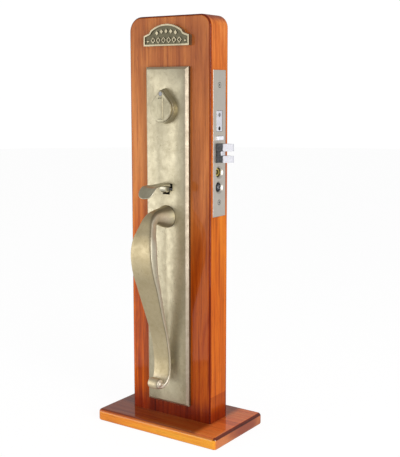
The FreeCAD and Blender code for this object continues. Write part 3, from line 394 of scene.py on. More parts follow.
def post_foot(s, colour, fields, height, on_side, sideways):
    """The foot is darkened with painted shade and a painted reflection of the base, with a ragged upper end
    on the front and a crisp one on the sides.
    """
    wander = s.both(s.math("SUBTRACT", fields["streaks"], 0.5), FOOT_RAGGED)
    ragged = s.math("ADD", height, s.both(wander, s.ranged(sideways, 0.95, 0.60)))
    # the darkest tone of the foot's painted shade and reflection
    painted_foot_shade = s.times(colour, (0.42, 0.22, 0.30))
    fade = s.mix(s.ranged(ragged, *FOOT_FADE), painted_foot_shade, colour)
    crisp = s.mix(s.ranged(height, *FOOT_LINE), s.mix(0.45, colour, painted_foot_shade), colour)
    return s.mix(on_side, fade, s.mix(s.ranged(height, *FOOT_BLEND), fade, crisp))


def post_wood():
    """Upright in reddish hardwood. Its long arrises and its right shoulder are darkened with painted shade,
    and its foot with painted shade and a painted reflection of the base.
    """
    s = Shader("post_wood")
    fields = grain_fields(s, "Z")
    blend = wood_blend(s, fields)
    height = s.split("Z")
    sideways = s.math("ABSOLUTE", s.face_direction("X"))
    forward = s.math("ABSOLUTE", s.face_direction("Y"))
    on_side = s.ranged(sideways, *TURNED_AWAY)
    colour = s.mix(on_side, post_front(s, blend, height), post_side(s, blend, height))
    vein_depth = s.mix(s.ranged(height, *VEINS_FADE), (0.75, 0.75, 0.75), (0.40, 0.40, 0.40))
    veins = s.both(s.grey_ramp(fields["veins"], 0.33, 0.43, 1.0, 0.0), vein_depth)
    colour = s.tinted(veins, colour, (0.46, 0.28, 0.30))
    # painted shade: the front darkens beside the right arris near the top, where the arris's dark band
    # widens
    shoulder = s.both(s.ranged(s.split("X"), *SHOULDER_PLACE), s.ranged(height, *SHOULDER_HEIGHT))
    shoulder = s.both(shoulder, s.ranged(forward, 0.6, 0.9))
    colour = s.tinted(s.both(shoulder, 0.7), colour, (0.62, 0.42, 0.60))
    # painted shade: the rounded long arrises are darkened where the faces turn from front to side
    arris = s.both(s.ranged(forward, 0.10, 0.35), s.ranged(forward, 0.985, 0.90))
    colour = s.tinted(arris, colour, (0.36, 0.15, 0.10))
    upward = s.ranged(s.face_direction("Z"), 0.30, 0.80)
    colour = s.tinted(upward, colour, (0.80, 0.62, 0.90))
    colour = post_foot(s, colour, fields, height, on_side, sideways)
    return wood_finish(s, colour, fields, (0.080, 0.012, 0.0024), 0.25)


def base_wood():
    """Base board: bright orange long edge, a top darkened with painted shade that turns to a painted sheen
    towards its right end, and a redder, streaked end.
    """
    s = Shader("base_wood")
    fields = grain_fields(s, "X")
    to_right, rising = s.face_direction("X"), s.face_direction("Z")
    edge = s.ramp(wood_blend(s, fields), (0.40, (0.60, 0.140, 0.007)), (0.50, (0.96, 0.285, 0.012)),
                  (0.60, (1.00, 0.41, 0.022)))
    end = s.ramp(fields["clouds"], (0.38, (0.30, 0.050, 0.010)), (0.60, (0.66, 0.19, 0.045)))
    colour = s.mix(s.ranged(to_right, *TURNED_AWAY), edge, end)
    # painted shade on the top, which little light reaches from above, turning to a painted sheen towards the
    # right end
    stain_and_shade = s.mix(s.ranged(s.split("X"), *BASE_END_PLACE), (0.36, 0.21, 0.60), (1.05, 0.75, 3.00))
    colour = s.tinted(s.ranged(rising, 0.55, 0.9), colour, stain_and_shade)
    # painted shade on the rounded top edges, darkest along the right end
    arris = s.both(s.ranged(rising, 0.12, 0.40), s.ranged(rising, 0.99, 0.92))
    edge_shade = s.mix(s.ranged(to_right, 0.08, 0.30), (0.62, 0.42, 0.50), (0.16, 0.07, 0.08))
    colour = s.tinted(arris, colour, edge_shade)
    return wood_finish(s, colour, fields, (0.120, 0.024, 0.0032), 0.95)


# ---------------------------------------------------------------- metals
def patina_and_shade_in_recess(bright, full, tint, floor=None):
    """Darkens what lies deeper along Y than bright, in full from full on; it ends at floor. On the plaque
    this is patina in its sunken field; on the plate's side walls and where the grip meets the plate it is
    painted shade.
    """
    def effect(s, colour, blotches, clouds):
        depth = s.wobbled(s.split("Y"), clouds, 0.8 * MM)
        filled = s.ranged(depth, bright, full)
        if floor:
            filled = s.both(filled, s.ranged(depth, floor + 0.8 * MM, floor + 0.3 * MM))
        return s.mix(filled, colour, tint)
    return effect


def painted_shading_to_right(arris_shading, flank_shading):
    """Painted shade and light on what turns to +X: the rounded arris, and the flank beyond it."""
    def effect(s, colour, blotches, clouds):
        to_right = s.face_direction("X")
        arris = s.both(s.ranged(to_right, 0.12, 0.40), s.ranged(to_right, 0.90, 0.66))
        colour = s.tinted(arris, colour, arris_shading)
        return s.tinted(s.ranged(to_right, 0.66, 0.92), colour, flank_shading)
    return effect


def painted_shade_patch(x_mm, z_mm, tint):
    """A patch of painted shade on the flat front, which grows from the first to the second X and Z."""
    def effect(s, colour, blotches, clouds):
        along = s.wobbled(s.split("X"), blotches, 12 * MM)
        shade = s.both(s.ranged(along, x_mm[0] * MM, x_mm[1] * MM),
                       s.ranged(s.split("Z"), z_mm[0] * MM, z_mm[1] * MM))
        shade = s.both(shade, s.ranged(s.face_direction("Y"), -0.90, -0.99))
        return s.tinted(shade, colour, tint)
    return effect


def painted_highlight_low(z_mm, tint):
    """What lies low is painted brighter, a painted highlight; the tint grows from the first to the second Z.
    """
    def effect(s, colour, blotches, clouds):
        return s.tinted(s.ranged(s.split("Z"), z_mm[0] * MM, z_mm[1] * MM), colour, tint)
    return effect


def rim_highlight_and_underside_shade(tint, underside_shade):
    """The left rim and the sloping lower rim are painted lighter, a painted highlight, and the underside is
    painted darker, painted shade.
    """
    def effect(s, colour, blotches, clouds):
        rising = s.face_direction("Z")
        lower = s.both(s.ranged(rising, 0.38, 0.0), s.ranged(rising, -0.80, -0.50))
        rim = s.math("MAXIMUM", s.ranged(s.face_direction("X"), -0.10, -0.45), lower)
        colour = s.tinted(rim, colour, tint)
        return s.tinted(s.ranged(rising, -0.55, -0.90), colour, underside_shade)
    return effect


def cast_bronze(name, low, high, pit, *effects, rough=0.48, grain=1.0):
    """Sand-cast bronze: mottled khaki, a fine sandy skin and scattered pits.

    Each effect changes the colour in its turn.
    """
    s = Shader(name)
    blotches = s.noise(s.coords, 24.0, 5.0, 0.6)
    clouds = s.noise(s.coords, 120.0, 4.0, 0.6, 0.4)
    sand = s.noise(s.coords, 900.0, 3.0, 0.65)
    pits = s.noise(s.coords, 380.0, 1.0, 0.5)
    mottle = s.math("ADD", s.both(blotches, 0.55), s.both(clouds, 0.45))
    colour = s.ramp(mottle, (0.38, low), (0.62, high))
    colour = s.mix(0.20, colour, s.grey_ramp(sand, 0.3, 0.7, 0.6, 1.25), "MULTIPLY")
    colour = s.mix(s.grey_ramp(pits, 0.22, 0.30, 0.50, 0.0), colour, pit)
    for effect in effects:
        colour = effect(s, colour, blotches, clouds)
    rolling = s.bump(clouds, 0.10 * grain, 1.0)
    sandy = s.bump(sand, 0.20 * grain, 0.30, rolling)
    normal = s.bump(s.grey_ramp(pits, 0.22, 0.30), 0.30 * grain, 0.35, sandy)
    roughness = s.grey_ramp(clouds, 0.3, 0.7, rough + 0.06, rough - 0.06)
    return s.set(Base_Color=colour, Metallic=0.88, Roughness=roughness, Normal=normal)


def brushed_metal(name, colour, rough, along="Z", contrast=0.12, strength=0.10, edge=None):
    """Machined metal with a fine lay along one axis and slight stains.

    edge is the tint of the narrow edges that turn to the front or the back, a painted shade.
    """
    s = Shader(name)
    lay = s.noise(s.stretched(along, 0.02), 1800.0, 3.0, 0.6)
    stain_and_shade = s.noise(s.coords, 70.0, 4.0, 0.6)
    tint = s.mix(contrast, colour, s.grey_ramp(stain_and_shade, 0.3, 0.7, 0.55, 1.2), "MULTIPLY")
    tint = s.mix(contrast, tint, s.grey_ramp(lay, 0.3, 0.7, 0.7, 1.15), "MULTIPLY")
    if edge:
        forward = s.math("ABSOLUTE", s.face_direction("Y"))
        tint = s.tinted(s.ranged(forward, 0.30, 0.80), tint, edge)
    roughness = s.grey_ramp(lay, 0.3, 0.7, rough + 0.05, rough - 0.05)
    return s.set(Base_Color=tint, Metallic=1.0, Roughness=roughness, Normal=s.bump(lay, strength, 0.05))


def latch_steel(name, bright_from_mm, bright_to_mm):
    """Latch steel painted near black along its body, a painted shade, and near white at its tip, a painted
    reflection.
    """
    s = Shader(name)
    speckle = s.noise(s.coords, 420.0, 3.0, 0.6)
    # painted reflection: past these X the tip turns near white
    tip_reflection = s.ranged(s.wobbled(s.split("X"), speckle, 1.2 * MM), bright_from_mm * MM, bright_to_mm * MM)
    dark = s.ramp(speckle, (0.35, (0.055, 0.057, 0.060)), (0.65, (0.10, 0.10, 0.105)))
    bright = s.ramp(speckle, (0.35, (0.66, 0.66, 0.71)), (0.65, (0.76, 0.76, 0.81)))
    return s.set(Base_Color=s.mix(tip_reflection, dark, bright), Metallic=0.35,
                 Roughness=s.grey_ramp(tip_reflection, 0.0, 1.0, 0.36, 0.50), Specular_IOR_Level=0.3,
                 Normal=s.bump(speckle, 0.08, 0.05))


def satin_white(name, low, high):
    """Nickel-plated bolt ends, which look an even pale grey."""
    s = Shader(name)
    stain_and_shade = s.noise(s.coords, 160.0, 3.0, 0.6)
    colour = s.ramp(stain_and_shade, (0.35, low), (0.65, high))
    return s.set(Base_Color=colour, Metallic=0.15, Roughness=s.grey_ramp(stain_and_shade, 0.3, 0.7, 0.60, 0.50),
                 Specular_IOR_Level=0.2, Normal=s.bump(stain_and_shade, 0.05, 0.05))


def ringed_end(name, centres, radius, *stops):
    """Rings of colour round axes along X; stops are (share of the radius, colour)."""
    s = Shader(name)
    nearest = None
    for centre in centres:
        squares = s.math("ADD", s.squared_gap("Y", centre.y), s.squared_gap("Z", centre.z))
        share = s.math("DIVIDE", s.math("SQRT", squares), radius)
        nearest = share if nearest is None else s.math("MINIMUM", nearest, share)
    speckle = s.noise(s.coords, 500.0, 2.0)
    colour = s.ramp(s.wobbled(nearest, speckle, 0.10), *stops)
    return s.set(Base_Color=colour, Metallic=0.4, Roughness=s.grey_ramp(speckle, 0.3, 0.7, 0.50, 0.40),
                 Specular_IOR_Level=0.3, Normal=s.bump(speckle, 0.10, 0.05))


def round_ends(node, count=1):
    """Axes and radius of a node's one round head, or of its two, one above the other."""
    low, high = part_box(node)
    radius = (high.y - low.y) / 2
    middle = (low + high) / 2
    if count == 1:
        return [middle], radius
    return [Vector((middle.x, middle.y, z)) for z in (low.z + radius, high.z - radius)], radius


def pin_ends():
    """Dead-bolt pins: the upper one dull grey, the lower one near black."""
    s = Shader("dead_bolt_pin_ends")
    low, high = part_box("dead_bolt_pins")
    middle = (low.z + high.z) / 2
    stain_and_shade = s.noise(s.coords, 600.0, 2.0)
    dull = s.ramp(stain_and_shade, (0.35, (0.14, 0.14, 0.15)), (0.65, (0.30, 0.30, 0.31)))
    colour = s.mix(s.ranged(s.split("Z"), middle - MM, middle + MM), (0.012, 0.012, 0.012), dull)
    return s.set(Base_Color=colour, Metallic=0.3, Roughness=s.grey_ramp(stain_and_shade, 0.3, 0.7, 0.6, 0.5))


# ---------------------------------------------------------------- the materials
BRONZE = ((0.52, 0.462, 0.318), (0.65, 0.590, 0.425), (0.22, 0.18, 0.10))
# rings of the round ends: (share of the radius, colour)
# the brass button's end: its dark rings are painted shade in the gaps between its middle, its outer ring and
# the hole
BRASS_RINGS = ((0.0, (0.62, 0.54, 0.36)), (0.34, (0.55, 0.46, 0.26)), (0.42, (0.05, 0.04, 0.02)),
               (0.54, (0.05, 0.04, 0.02)), (0.62, (0.66, 0.52, 0.14)), (0.86, (0.62, 0.48, 0.12)),
               (0.96, (0.03, 0.025, 0.015)))
# the steel button's end: a painted highlight in the middle that fades to painted shade towards the rim
STEEL_RINGS = ((0.0, (0.50, 0.50, 0.52)), (0.30, (0.34, 0.34, 0.35)), (0.48, (0.10, 0.10, 0.11)),
               (0.75, (0.025, 0.025, 0.03)), (1.0, (0.02, 0.02, 0.02)))
# the screw heads: the dark middle is painted shade standing for the drive recess; the dark outer ring is the
# seam round the head
SCREW_RINGS = ((0.0, (0.02, 0.02, 0.02)), (0.26, (0.05, 0.05, 0.05)), (0.38, (0.46, 0.44, 0.40)),
               (0.78, (0.50, 0.48, 0.43)), (0.86, (0.09, 0.08, 0.07)), (1.0, (0.09, 0.08, 0.07)))


def bronze_materials():
    """The castings share one metal, and differ in where patina lies and where painted shade, shadow and
    highlights lie.
    """
    return {
        "bronze": cast_bronze("sand_cast_bronze", *BRONZE),
        "plate": cast_bronze(
            "plate_bronze", *BRONZE,
            # painted shade on the plate's side walls, which lie back towards the wood
            patina_and_shade_in_recess(PLATE_FRONT + 2.9 * MM, PLATE_FRONT + 5.0 * MM, (0.30, 0.23, 0.13)),
            # painted shade on the plate's right arris and side wall
            painted_shading_to_right((0.74, 0.69, 0.74), (0.60, 0.56, 0.55)),
            # painted shadow of the grip, on the plate to its right
            painted_shade_patch((8, 34), (370, 300), (0.86, 0.82, 0.76)),
            # painted shade low on the left of the plate
            painted_shade_patch((-6, -24), (230, 150), (0.74, 0.74, 0.72))),
        "grip": cast_bronze(
            "grip_bronze", (0.51, 0.42, 0.245), (0.61, 0.515, 0.325), (0.22, 0.17, 0.10),
            # painted shade where the grip meets the plate
            patina_and_shade_in_recess(PLATE_FRONT - 2.2 * MM, PLATE_FRONT + 0.2 * MM, (0.15, 0.115, 0.07)),
            # painted shade on the ribbon's right arris and a painted highlight on its flank
            painted_shading_to_right((0.60, 0.60, 0.66), (1.10, 1.22, 1.50)),
            # painted highlight on the roll at the grip's lower end
            painted_highlight_low((89, 83), (1.28, 1.30, 1.42)), grain=0.4),
        "thumb": cast_bronze(
            "thumb_latch_bronze", (0.48, 0.44, 0.31), (0.62, 0.58, 0.43), (0.22, 0.17, 0.10),
            # painted highlight on the thumb piece's left and lower rims, and painted shade underneath
            rim_highlight_and_underside_shade((1.30, 1.33, 1.45), (0.42, 0.40, 0.36)), rough=0.38, grain=0.6),
        "cover": cast_bronze(
            "cover_bronze", (0.42, 0.375, 0.255), (0.53, 0.485, 0.345), (0.20, 0.16, 0.09),
            # painted shade on the right arris and side of the cover and the collar
            painted_shading_to_right((0.84, 0.82, 0.80), (0.68, 0.65, 0.58))),
        "plaque": cast_bronze(
            "plaque_bronze", (0.47, 0.41, 0.28), (0.61, 0.54, 0.37), (0.16, 0.13, 0.07),
            patina_and_shade_in_recess(PLAQUE_FRONT + 0.5 * MM, PLAQUE_FRONT + 1.1 * MM, (0.145, 0.130, 0.082),
                             PLAQUE_FRONT + 1.6 * MM),
            # painted shade on the plaque's right arris and side wall
            painted_shading_to_right((0.80, 0.78, 0.76), (0.52, 0.49, 0.44)), rough=0.44, grain=0.5),
    }


def lock_materials():
    return {
        "latch": latch_steel("latch_steel", 77.0, 78.6),
        "tongue": latch_steel("tongue_steel", 74.6, 75.6),
        "bolt_end": satin_white("nickel_bolt_end", (0.58, 0.58, 0.63), (0.68, 0.68, 0.73)),
        "white_end": satin_white("nickel_white", (0.80, 0.80, 0.85), (0.90, 0.90, 0.95)),
        "pin_ends": pin_ends(),
        "upper_button": ringed_end("brass_button_end", *round_ends("stop_button_upper"), *BRASS_RINGS),
        "lower_button": ringed_end("steel_button_end", *round_ends("stop_button_lower"), *STEEL_RINGS),
        "screw_ends": ringed_end("screw_ends", *round_ends("faceplate_screws", 2), *SCREW_RINGS),
        # the faceplate's narrow edges carry a painted shade
        "satin_steel": brushed_metal("satin_steel", (0.78, 0.725, 0.645), 0.36, edge=(0.50, 0.50, 0.48)),
        "case_steel": brushed_metal("case_steel", (0.50, 0.50, 0.49), 0.40, "X"),
        "dark_steel": brushed_metal("dark_steel", (0.22, 0.22, 0.23), 0.32, "X"),
        "bright_steel": brushed_metal("bright_steel", (0.93, 0.93, 0.95), 0.30, "Z", 0.05, 0.05),
        "spring_steel": brushed_metal("spring_steel", (0.52, 0.52, 0.53), 0.30, "X"),
        "brass": brushed_metal("brass", (0.80, 0.60, 0.22), 0.28, "Y", 0.15, 0.06),
    }


MATERIALS = {"post": post_wood(), "base": base_wood(), **bronze_materials(), **lock_materials()}
SLOT_MATERIAL = {
    "lacquered_wood": "post", "cast_bronze": "bronze", "plaque_bronze": "plaque", "brass": "brass",
    "satin_steel": "satin_steel", "case_steel": "case_steel", "dark_steel": "dark_steel",
    "bright_steel": "bright_steel", "spring_steel": "spring_steel",
}
NODE_MATERIAL = {
    "base_board": "base", "latch_bolt": "latch", "dead_bolt": "bolt_end", "auxiliary_bolt": "white_end",
    "antifriction_tongue": "tongue", "cover_pivot_screw": "dark_steel", "stop_button_upper": "upper_button",
    "stop_button_lower": "lower_button", "dead_bolt_pins": "pin_ends", "faceplate_screws": "screw_ends",
}
NODE_SLOT = {entry["node"]: entry["material_slot"] for entry in frame["record"]["subparts"]}


def paint(obj, key):
    obj.data.materials.clear()
    obj.data.materials.append(MATERIALS[key])


def paint_cad_nodes():
    for node, obj in frame["nodes"].items():
        key = NODE_MATERIAL.get(node, SLOT_MATERIAL[NODE_SLOT[node]])
        for slot in obj.material_slots:
            slot.material = MATERIALS[key]


def place(obj, body, material, slot_name, *nodes):
    """Gives a finished piece its material, its body and the CAD nodes that it stands for."""
    paint(obj, material)
    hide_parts(*nodes)
    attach(obj, body)


def side_point(out_mm, z_mm, x_mm=0.0):
    return Vector((x_mm * MM, PLATE_FRONT - out_mm * MM, z_mm * MM))


def rounded_square(angle, sharpness):
    """A point on a square outline from -1 to 1: round at sharpness 2, and squarer the higher it is."""
    def signed_power(value):
        return math.copysign(abs(value) ** (2 / sharpness), value)
    return signed_power(math.cos(angle)), signed_power(math.sin(angle))


# ---------------------------------------------------------------- grip
SECTION_POINTS = 48
GRIP_STEPS = 5
# along the spine: out, z, half width, half thickness, sharpness of the section, bow (mm)
GRIP_SPINE = [
    (-1.0, 315.5, 16.2, 16.2, 2.0, 0.0), (1.2, 315.5, 16.0, 16.0, 2.0, 0.0),
    (4.0, 315.6, 15.4, 15.4, 2.0, 0.0), (9.0, 315.9, 13.9, 14.1, 2.0, 0.0),
    (16.5, 316.9, 11.9, 12.0, 2.0, 0.0), (24.0, 317.4, 10.4, 10.2, 2.1, 0.0),
    (32.0, 316.8, 9.9, 8.2, 2.4, 0.0), (40.6, 311.6, 10.9, 6.6, 3.2, 0.4),
    (47.2, 302.0, 13.8, 5.2, 4.4, 0.8), (52.9, 291.4, 17.4, 4.5, 6.0, 1.0),
    (55.6, 278.4, 19.7, 4.5, 7.0, 1.0), (56.0, 262.6, 20.6, 4.4, 7.0, 1.0),
    (52.0, 240.5, 20.4, 3.8, 7.0, 0.8), (44.3, 219.6, 19.4, 3.2, 7.0, 0.8),
    (36.1, 196.0, 17.9, 2.8, 7.0, 0.7), (28.1, 172.9, 16.3, 2.5, 7.0, 0.6),
    (18.2, 143.8, 15.4, 2.3, 6.0, 0.4), (12.5, 113.8, 15.0, 2.1, 6.0, 0.1),
    (12.0, 95.0, 15.0, 2.0, 6.0, -0.4), (13.8, 84.2, 14.7, 2.1, 6.0, -0.5),
    (18.2, 76.5, 13.6, 2.6, 5.0, -0.3), (24.5, 73.2, 11.6, 3.2, 4.0, 0.0),
    (30.5, 74.8, 10.0, 3.4, 3.0, 0.0),
]
# the section is round up to the first sharpness and a full ribbon from the second
ROUND_SHARPNESS, RIBBON_SHARPNESS = 2.4, 5.4
CHAMFER_SHARE = 0.60
FRONT_DISH = 0.6
# the ribbon's back swells by this much for each mm of half thickness above the thinnest
BACK_SWELL, THINNEST = 2.3, 2.0
NECK_RINGS = 3
# the roll at the lower end, the button on its right and the foot that meets the plate: places in
# mm, and their shapes as (distance along the axis, radius) in mm
ROLL_OUT, ROLL_Z = 29.4, 77.0
ROLL = [(-10.2, 1.0), (-10.0, 3.2), (-9.2, 5.6), (-7.6, 7.2), (-5.0, 8.0), (0.0, 8.3), (5.0, 8.1),
        (8.0, 7.5), (9.4, 6.4), (9.8, 4.6)]
BUTTON_X = 9.4
BUTTON = [(0.0, 3.4), (0.9, 3.3), (1.5, 2.6), (1.8, 1.0)]
FOOT_OUT, FOOT_Z = -0.5, 100.0
FOOT = [(0, 6.8), (3, 6.5), (9, 6.1), (12, 6.0)]


def ribbon_rings():
    """Sections square to the spine: round at the neck, then a flat ribbon.

    The ribbon's front is a little dished and narrower than its back, which bows and swells out.
    """
    rows = catmull(GRIP_SPINE, GRIP_STEPS)
    centres = [side_point(r[0], r[1]) for r in rows]
    rings = []
    for i, (centre, row) in enumerate(zip(centres, rows)):
        _, _, half_w, half_t, sharpness, bow = row
        flatness = (sharpness - ROUND_SHARPNESS) / (RIBBON_SHARPNESS - ROUND_SHARPNESS)
        flatness = min(max(flatness, 0.0), 1.0)
        chamfer = CHAMFER_SHARE * half_t * flatness
        swell = BACK_SWELL * flatness * max(half_t - THINNEST, 0.0)
        # to the inside of the bend: down at the neck, then towards the plate
        inward = Vector((0, 0, -1)) if i < NECK_RINGS else SIDEWAYS.cross(direction_at(centres, i))
        inward.normalize()
        ring = []
        for angle in around(SECTION_POINTS):
            u, v = rounded_square(angle, sharpness)
            bulge = bow * (1 - u * u)
            lift = v * half_t + (bulge + v * swell if v > 0 else bulge * FRONT_DISH)
            half = half_w - chamfer * (1 - v) / 2
            ring.append(centre + SIDEWAYS * (u * half * MM) + inward * (lift * MM))
        rings.append(ring)
    return rings


def disc_stack(centre, axis, stations):
    """Round body: (distance along the axis, radius) in mm."""
    side = axis.orthogonal().normalized()
    up = axis.cross(side)
    return [[centre + axis * (along * MM) + (side * math.cos(angle) + up * math.sin(angle)) * (radius * MM)
             for angle in around(40)] for along, radius in stations]


def build_grip():
    bm = bmesh.new()
    loft(bm, ribbon_rings())
    loft(bm, disc_stack(side_point(ROLL_OUT, ROLL_Z), SIDEWAYS, ROLL))
    loft(bm, disc_stack(side_point(ROLL_OUT, ROLL_Z, BUTTON_X), SIDEWAYS, BUTTON))
    loft(bm, disc_stack(side_point(FOOT_OUT, FOOT_Z), Vector((0, -1, 0)), FOOT))
    grip = make_object("grip_casting", bm)
    cast_skin(grip, voxel_mm=0.6, smooth_steps=2)
    place(grip, "stand", "grip", "cast_bronze", "grip_handle")


# ---------------------------------------------------------------- thumb latch
THUMB_STEPS = 3
THUMB_SHARPNESS = 3.4
# the underside follows this share of the dish above it
UNDERSIDE_DISH = 0.8
# along the arm: out, z of the upper face, half width, thickness, dish of the upper face (mm)
THUMB_SPINE = [
    (-1.5, 361.9, 8.0, 5.0, 0.0), (0.4, 362.2, 8.0, 5.0, 0.0), (1.6, 363.3, 8.4, 6.0, 0.0),
    (4.0, 363.4, 8.2, 5.2, 0.0), (8.0, 363.3, 8.0, 4.3, 0.1), (13.0, 363.1, 8.0, 3.6, 0.2),
    (18.0, 363.0, 8.1, 3.3, 0.5), (23.0, 362.9, 8.4, 3.2, 0.9), (28.0, 362.9, 9.8, 3.2, 1.4),
    (33.0, 362.9, 11.4, 3.1, 1.9), (37.0, 362.5, 12.4, 3.0, 2.3), (40.5, 361.2, 12.9, 3.0, 2.4),
    (43.8, 358.6, 13.0, 3.0, 2.4), (46.6, 355.4, 12.8, 2.9, 2.2), (48.9, 352.4, 12.0, 2.8, 1.9),
    (50.6, 349.9, 10.6, 2.7, 1.4), (51.9, 348.0, 8.4, 2.5, 0.8), (52.8, 346.8, 5.4, 2.3, 0.3),
    (53.2, 346.2, 2.0, 2.0, 0.0),
]
# the lug under the arm's root, from the side: out, z; and the X of its two sides (mm)
THUMB_LUG = [(-1.5, 359.0), (6.5, 359.5), (9.2, 358.6), (9.0, 355.0), (7.2, 352.0), (4.8, 350.4),
             (2.8, 350.4), (-1.5, 351.7)]
LUG_SIDES = (-5.0, 5.0)


def thumb_rings():
    """Sections square to the arm, dished on top where the thumb lies."""
    rows = catmull(THUMB_SPINE, THUMB_STEPS)
    tops = [side_point(r[0], r[1]) for r in rows]
    rings = []
    for i, (top, row) in enumerate(zip(tops, rows)):
        _, _, half_w, thick, dish = row
        up = SIDEWAYS.cross(direction_at(tops, i))
        up = up if up.z > 0 else -up
        ring = []
        for angle in around(SECTION_POINTS):
            u, v = rounded_square(angle, THUMB_SHARPNESS)
            sag = dish * (1 - u * u)
            lift = (v - 1) * thick / 2 - (sag if v > 0 else sag * UNDERSIDE_DISH)
            ring.append(top + SIDEWAYS * (u * half_w * MM) + up * (lift * MM))
        rings.append(ring)
    return rings


def build_thumb_latch():
    bm = bmesh.new()
    loft(bm, thumb_rings())
    loft(bm, [[side_point(out, z, x) for out, z in THUMB_LUG] for x in LUG_SIDES])
    casting = make_object("thumb_latch_casting", bm)
    cast_skin(casting, voxel_mm=0.5, smooth_steps=3)
    place(casting, "thumb_latch", "thumb", "cast_bronze", "thumb_latch")


# ---------------------------------------------------------------- springs
# each end has this many closed turns, which climb this many wire radii a turn
CLOSED_TURNS, CLOSED_PITCH = 0.8, 1.6
STEPS_A_TURN, WIRE_SIDES = 28, 10


def spring_path(low, high, wire, turns):
    """Middle of the wire from the case end to the bolt end: a helix with closed end turns.

    wire is the radius of the wire.
    """
    middle = (low + high) / 2
    coil_radius = (high.y - low.y) / 2 - wire
    first, last = low.x + wire, high.x - wire
    closed_length = CLOSED_TURNS * CLOSED_PITCH * wire
    path = []
    for i in range(turns * STEPS_A_TURN + 1):
        turn = i / STEPS_A_TURN
        climb = min(max((turn - CLOSED_TURNS) / (turns - 2 * CLOSED_TURNS), 0.0), 1.0)
        end_turns = min(turn, CLOSED_TURNS) + max(turn - (turns - CLOSED_TURNS), 0.0)
        x = first + CLOSED_PITCH * wire * end_turns + climb * (last - first - 2 * closed_length)
        angle = 2 * math.pi * turn
        path.append(Vector((x, middle.y + coil_radius * math.cos(angle),
                            middle.z + coil_radius * math.sin(angle))))
    return path


def build_spring(node, body, wire_radius_mm, turns):
    """A coil between the case and a bolt, which shortens as the bolt goes in."""
    low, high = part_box(node)
    wire = wire_radius_mm * MM
    middle = (low + high) / 2
    path = spring_path(low, high, wire, turns)
    rings = []
    for i, point in enumerate(path):
        outward = Vector((0, point.y - middle.y, point.z - middle.z)).normalized()
        side = direction_at(path, i).cross(outward).normalized()
        rings.append([point + (outward * math.cos(angle) + side * math.sin(angle)) * wire
                      for angle in around(WIRE_SIDES)])
    bm = bmesh.new()
    loft(bm, rings)
    spring = make_object(node + "_coil", bm)
    shade_smooth(spring)
    paint(spring, "spring_steel")
    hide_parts(node)
    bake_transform(spring, "stand", body, (low.x, middle.y, middle.z), (high.x, middle.y, middle.z))


# ---------------------------------------------------------------- skins over CAD castings
# rounding of the edges (mm) and finish
CAST_SKINS = {
    "outer_plate": (1.0, "plate"), "inner_plate": (1.0, "bronze"),
    "cylinder_collar": (0.6, "cover"), "keyhole_cover": (0.6, "cover"),
}


def build_skins():
    for node, (edge_mm, finish) in CAST_SKINS.items():
        skin = softened(node, edge_mm)
        place(skin, body_of(frame["nodes"][node])[0], finish, "cast_bronze", node)


# ---------------------------------------------------------------- floor, light and camera
FLOOR_RADIUS, DOME_RADIUS = 7.0, 6.5
# brightness of the surround by the height of its direction, from straight down to straight up
SURROUND = [(-1.0, 0.50), (-0.35, 0.58), (-0.16, 0.58), (-0.07, 0.70), (0.03, 0.58), (0.20, 0.46),
            (0.50, 0.42), (1.0, 0.36)]
LIGHTS_AIM = (0.0, 0.0, 0.32)
CAMERA_AT = (0.75066, -1.04035, 0.49374)
CAMERA_YAW, CAMERA_PITCH = 34.53, -9.02
CAMERA_LENS, CAMERA_SHIFT = 70.34, (0.0030, 0.0061)


def glowing(name, strength, base):
    """Plain matt white that is evenly lit, with only a faint shade where something stands on it."""
    s = Shader(name)
    tone = s.grey_ramp(s.noise(s.coords, 3.0, 2.0), 0.3, 0.7, base, base * 1.02)
    return s.set(Base_Color=tone, Roughness=1.0, Specular_IOR_Level=0.0, Emission_Strength=strength,
                 Emission_Color=(1.0, 1.0, 1.0, 1.0))


def build_stage():
    """A white floor that runs out to a white dome, as one seamless studio sweep."""
    bm = bmesh.new()
    bmesh.ops.create_circle(bm, cap_ends=True, radius=FLOOR_RADIUS, segments=96)
    floor = make_object("floor", bm)
    floor.data.materials.append(glowing("pale_floor", 0.92, 0.14))
    bm = bmesh.new()
    bmesh.ops.create_uvsphere(bm, u_segments=64, v_segments=32, radius=DOME_RADIUS)
    dome = make_object("backdrop", bm)
    dome.data.materials.append(glowing("pale_backdrop", 1.0, 0.02))
    for obj in (floor, dome):
        obj.visible_diffuse = False
        obj.visible_glossy = False
        obj.visible_transmission = False
        obj.visible_shadow = False


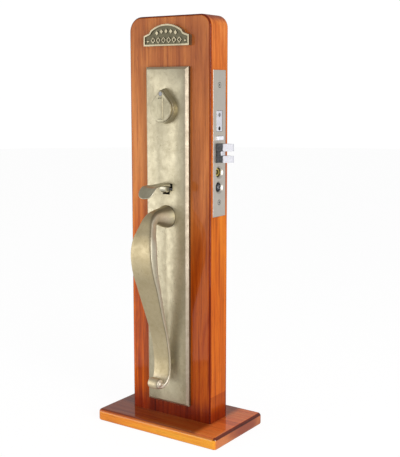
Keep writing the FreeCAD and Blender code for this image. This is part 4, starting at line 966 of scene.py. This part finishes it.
def build_world():
    """Soft surround, brightest just under the horizon and dimmer towards the ceiling."""
    world = bpy.data.worlds.new("studio")
    bpy.context.scene.world = world
    world.use_nodes = True
    tree = world.node_tree
    background = tree.nodes["Background"]
    coords = tree.nodes.new("ShaderNodeTexCoord")
    split = tree.nodes.new("ShaderNodeSeparateXYZ")
    rise = tree.nodes.new("ShaderNodeMapRange")
    rise.inputs["From Min"].default_value = -1.0
    ramp = tree.nodes.new("ShaderNodeValToRGB")
    tree.links.new(coords.outputs["Generated"], split.inputs[0])
    tree.links.new(split.outputs["Z"], rise.inputs["Value"])
    tree.links.new(rise.outputs["Result"], ramp.inputs["Fac"])
    tree.links.new(ramp.outputs["Color"], background.inputs["Color"])
    elements = ramp.color_ramp.elements
    while len(elements) < len(SURROUND):
        elements.new(0.5)
    for element, (height, grey) in zip(elements, SURROUND):
        element.position = (height + 1) / 2
        element.color = (grey, grey, grey, 1.0)
    background.inputs["Strength"].default_value = 1.0


def soft_box(name, position, size, watts):
    data = bpy.data.lights.new(name, "AREA")
    data.shape = "RECTANGLE"
    data.size, data.size_y = size
    data.energy = watts
    light = bpy.data.objects.new(name, data)
    bpy.context.scene.collection.objects.link(light)
    light.location = position
    light.rotation_euler = (Vector(LIGHTS_AIM) - Vector(position)).to_track_quat("-Z", "Y").to_euler()


def build_camera():
    data = bpy.data.cameras.new("camera")
    data.lens = CAMERA_LENS
    data.sensor_width = 36.0
    data.shift_x, data.shift_y = CAMERA_SHIFT
    data.clip_start = 0.05
    camera = bpy.data.objects.new("camera", data)
    bpy.context.scene.collection.objects.link(camera)
    camera.location = CAMERA_AT
    camera.rotation_euler = (math.radians(90 + CAMERA_PITCH), 0, math.radians(CAMERA_YAW))
    bpy.context.scene.camera = camera


bpy.context.scene.view_settings.view_transform = "Standard"
paint_cad_nodes()
build_grip()
build_thumb_latch()
build_spring("latch_spring", "latch", 0.5, 9)
build_spring("auxiliary_spring", "auxiliary_bolt", 0.35, 8)
build_skins()
build_stage()
build_world()
soft_box("key", (-1.60, -1.30, 0.15), (2.0, 1.4), 15.0)
soft_box("fill_right", (1.45, -0.70, 0.50), (0.7, 1.3), 19.0)
build_camera()
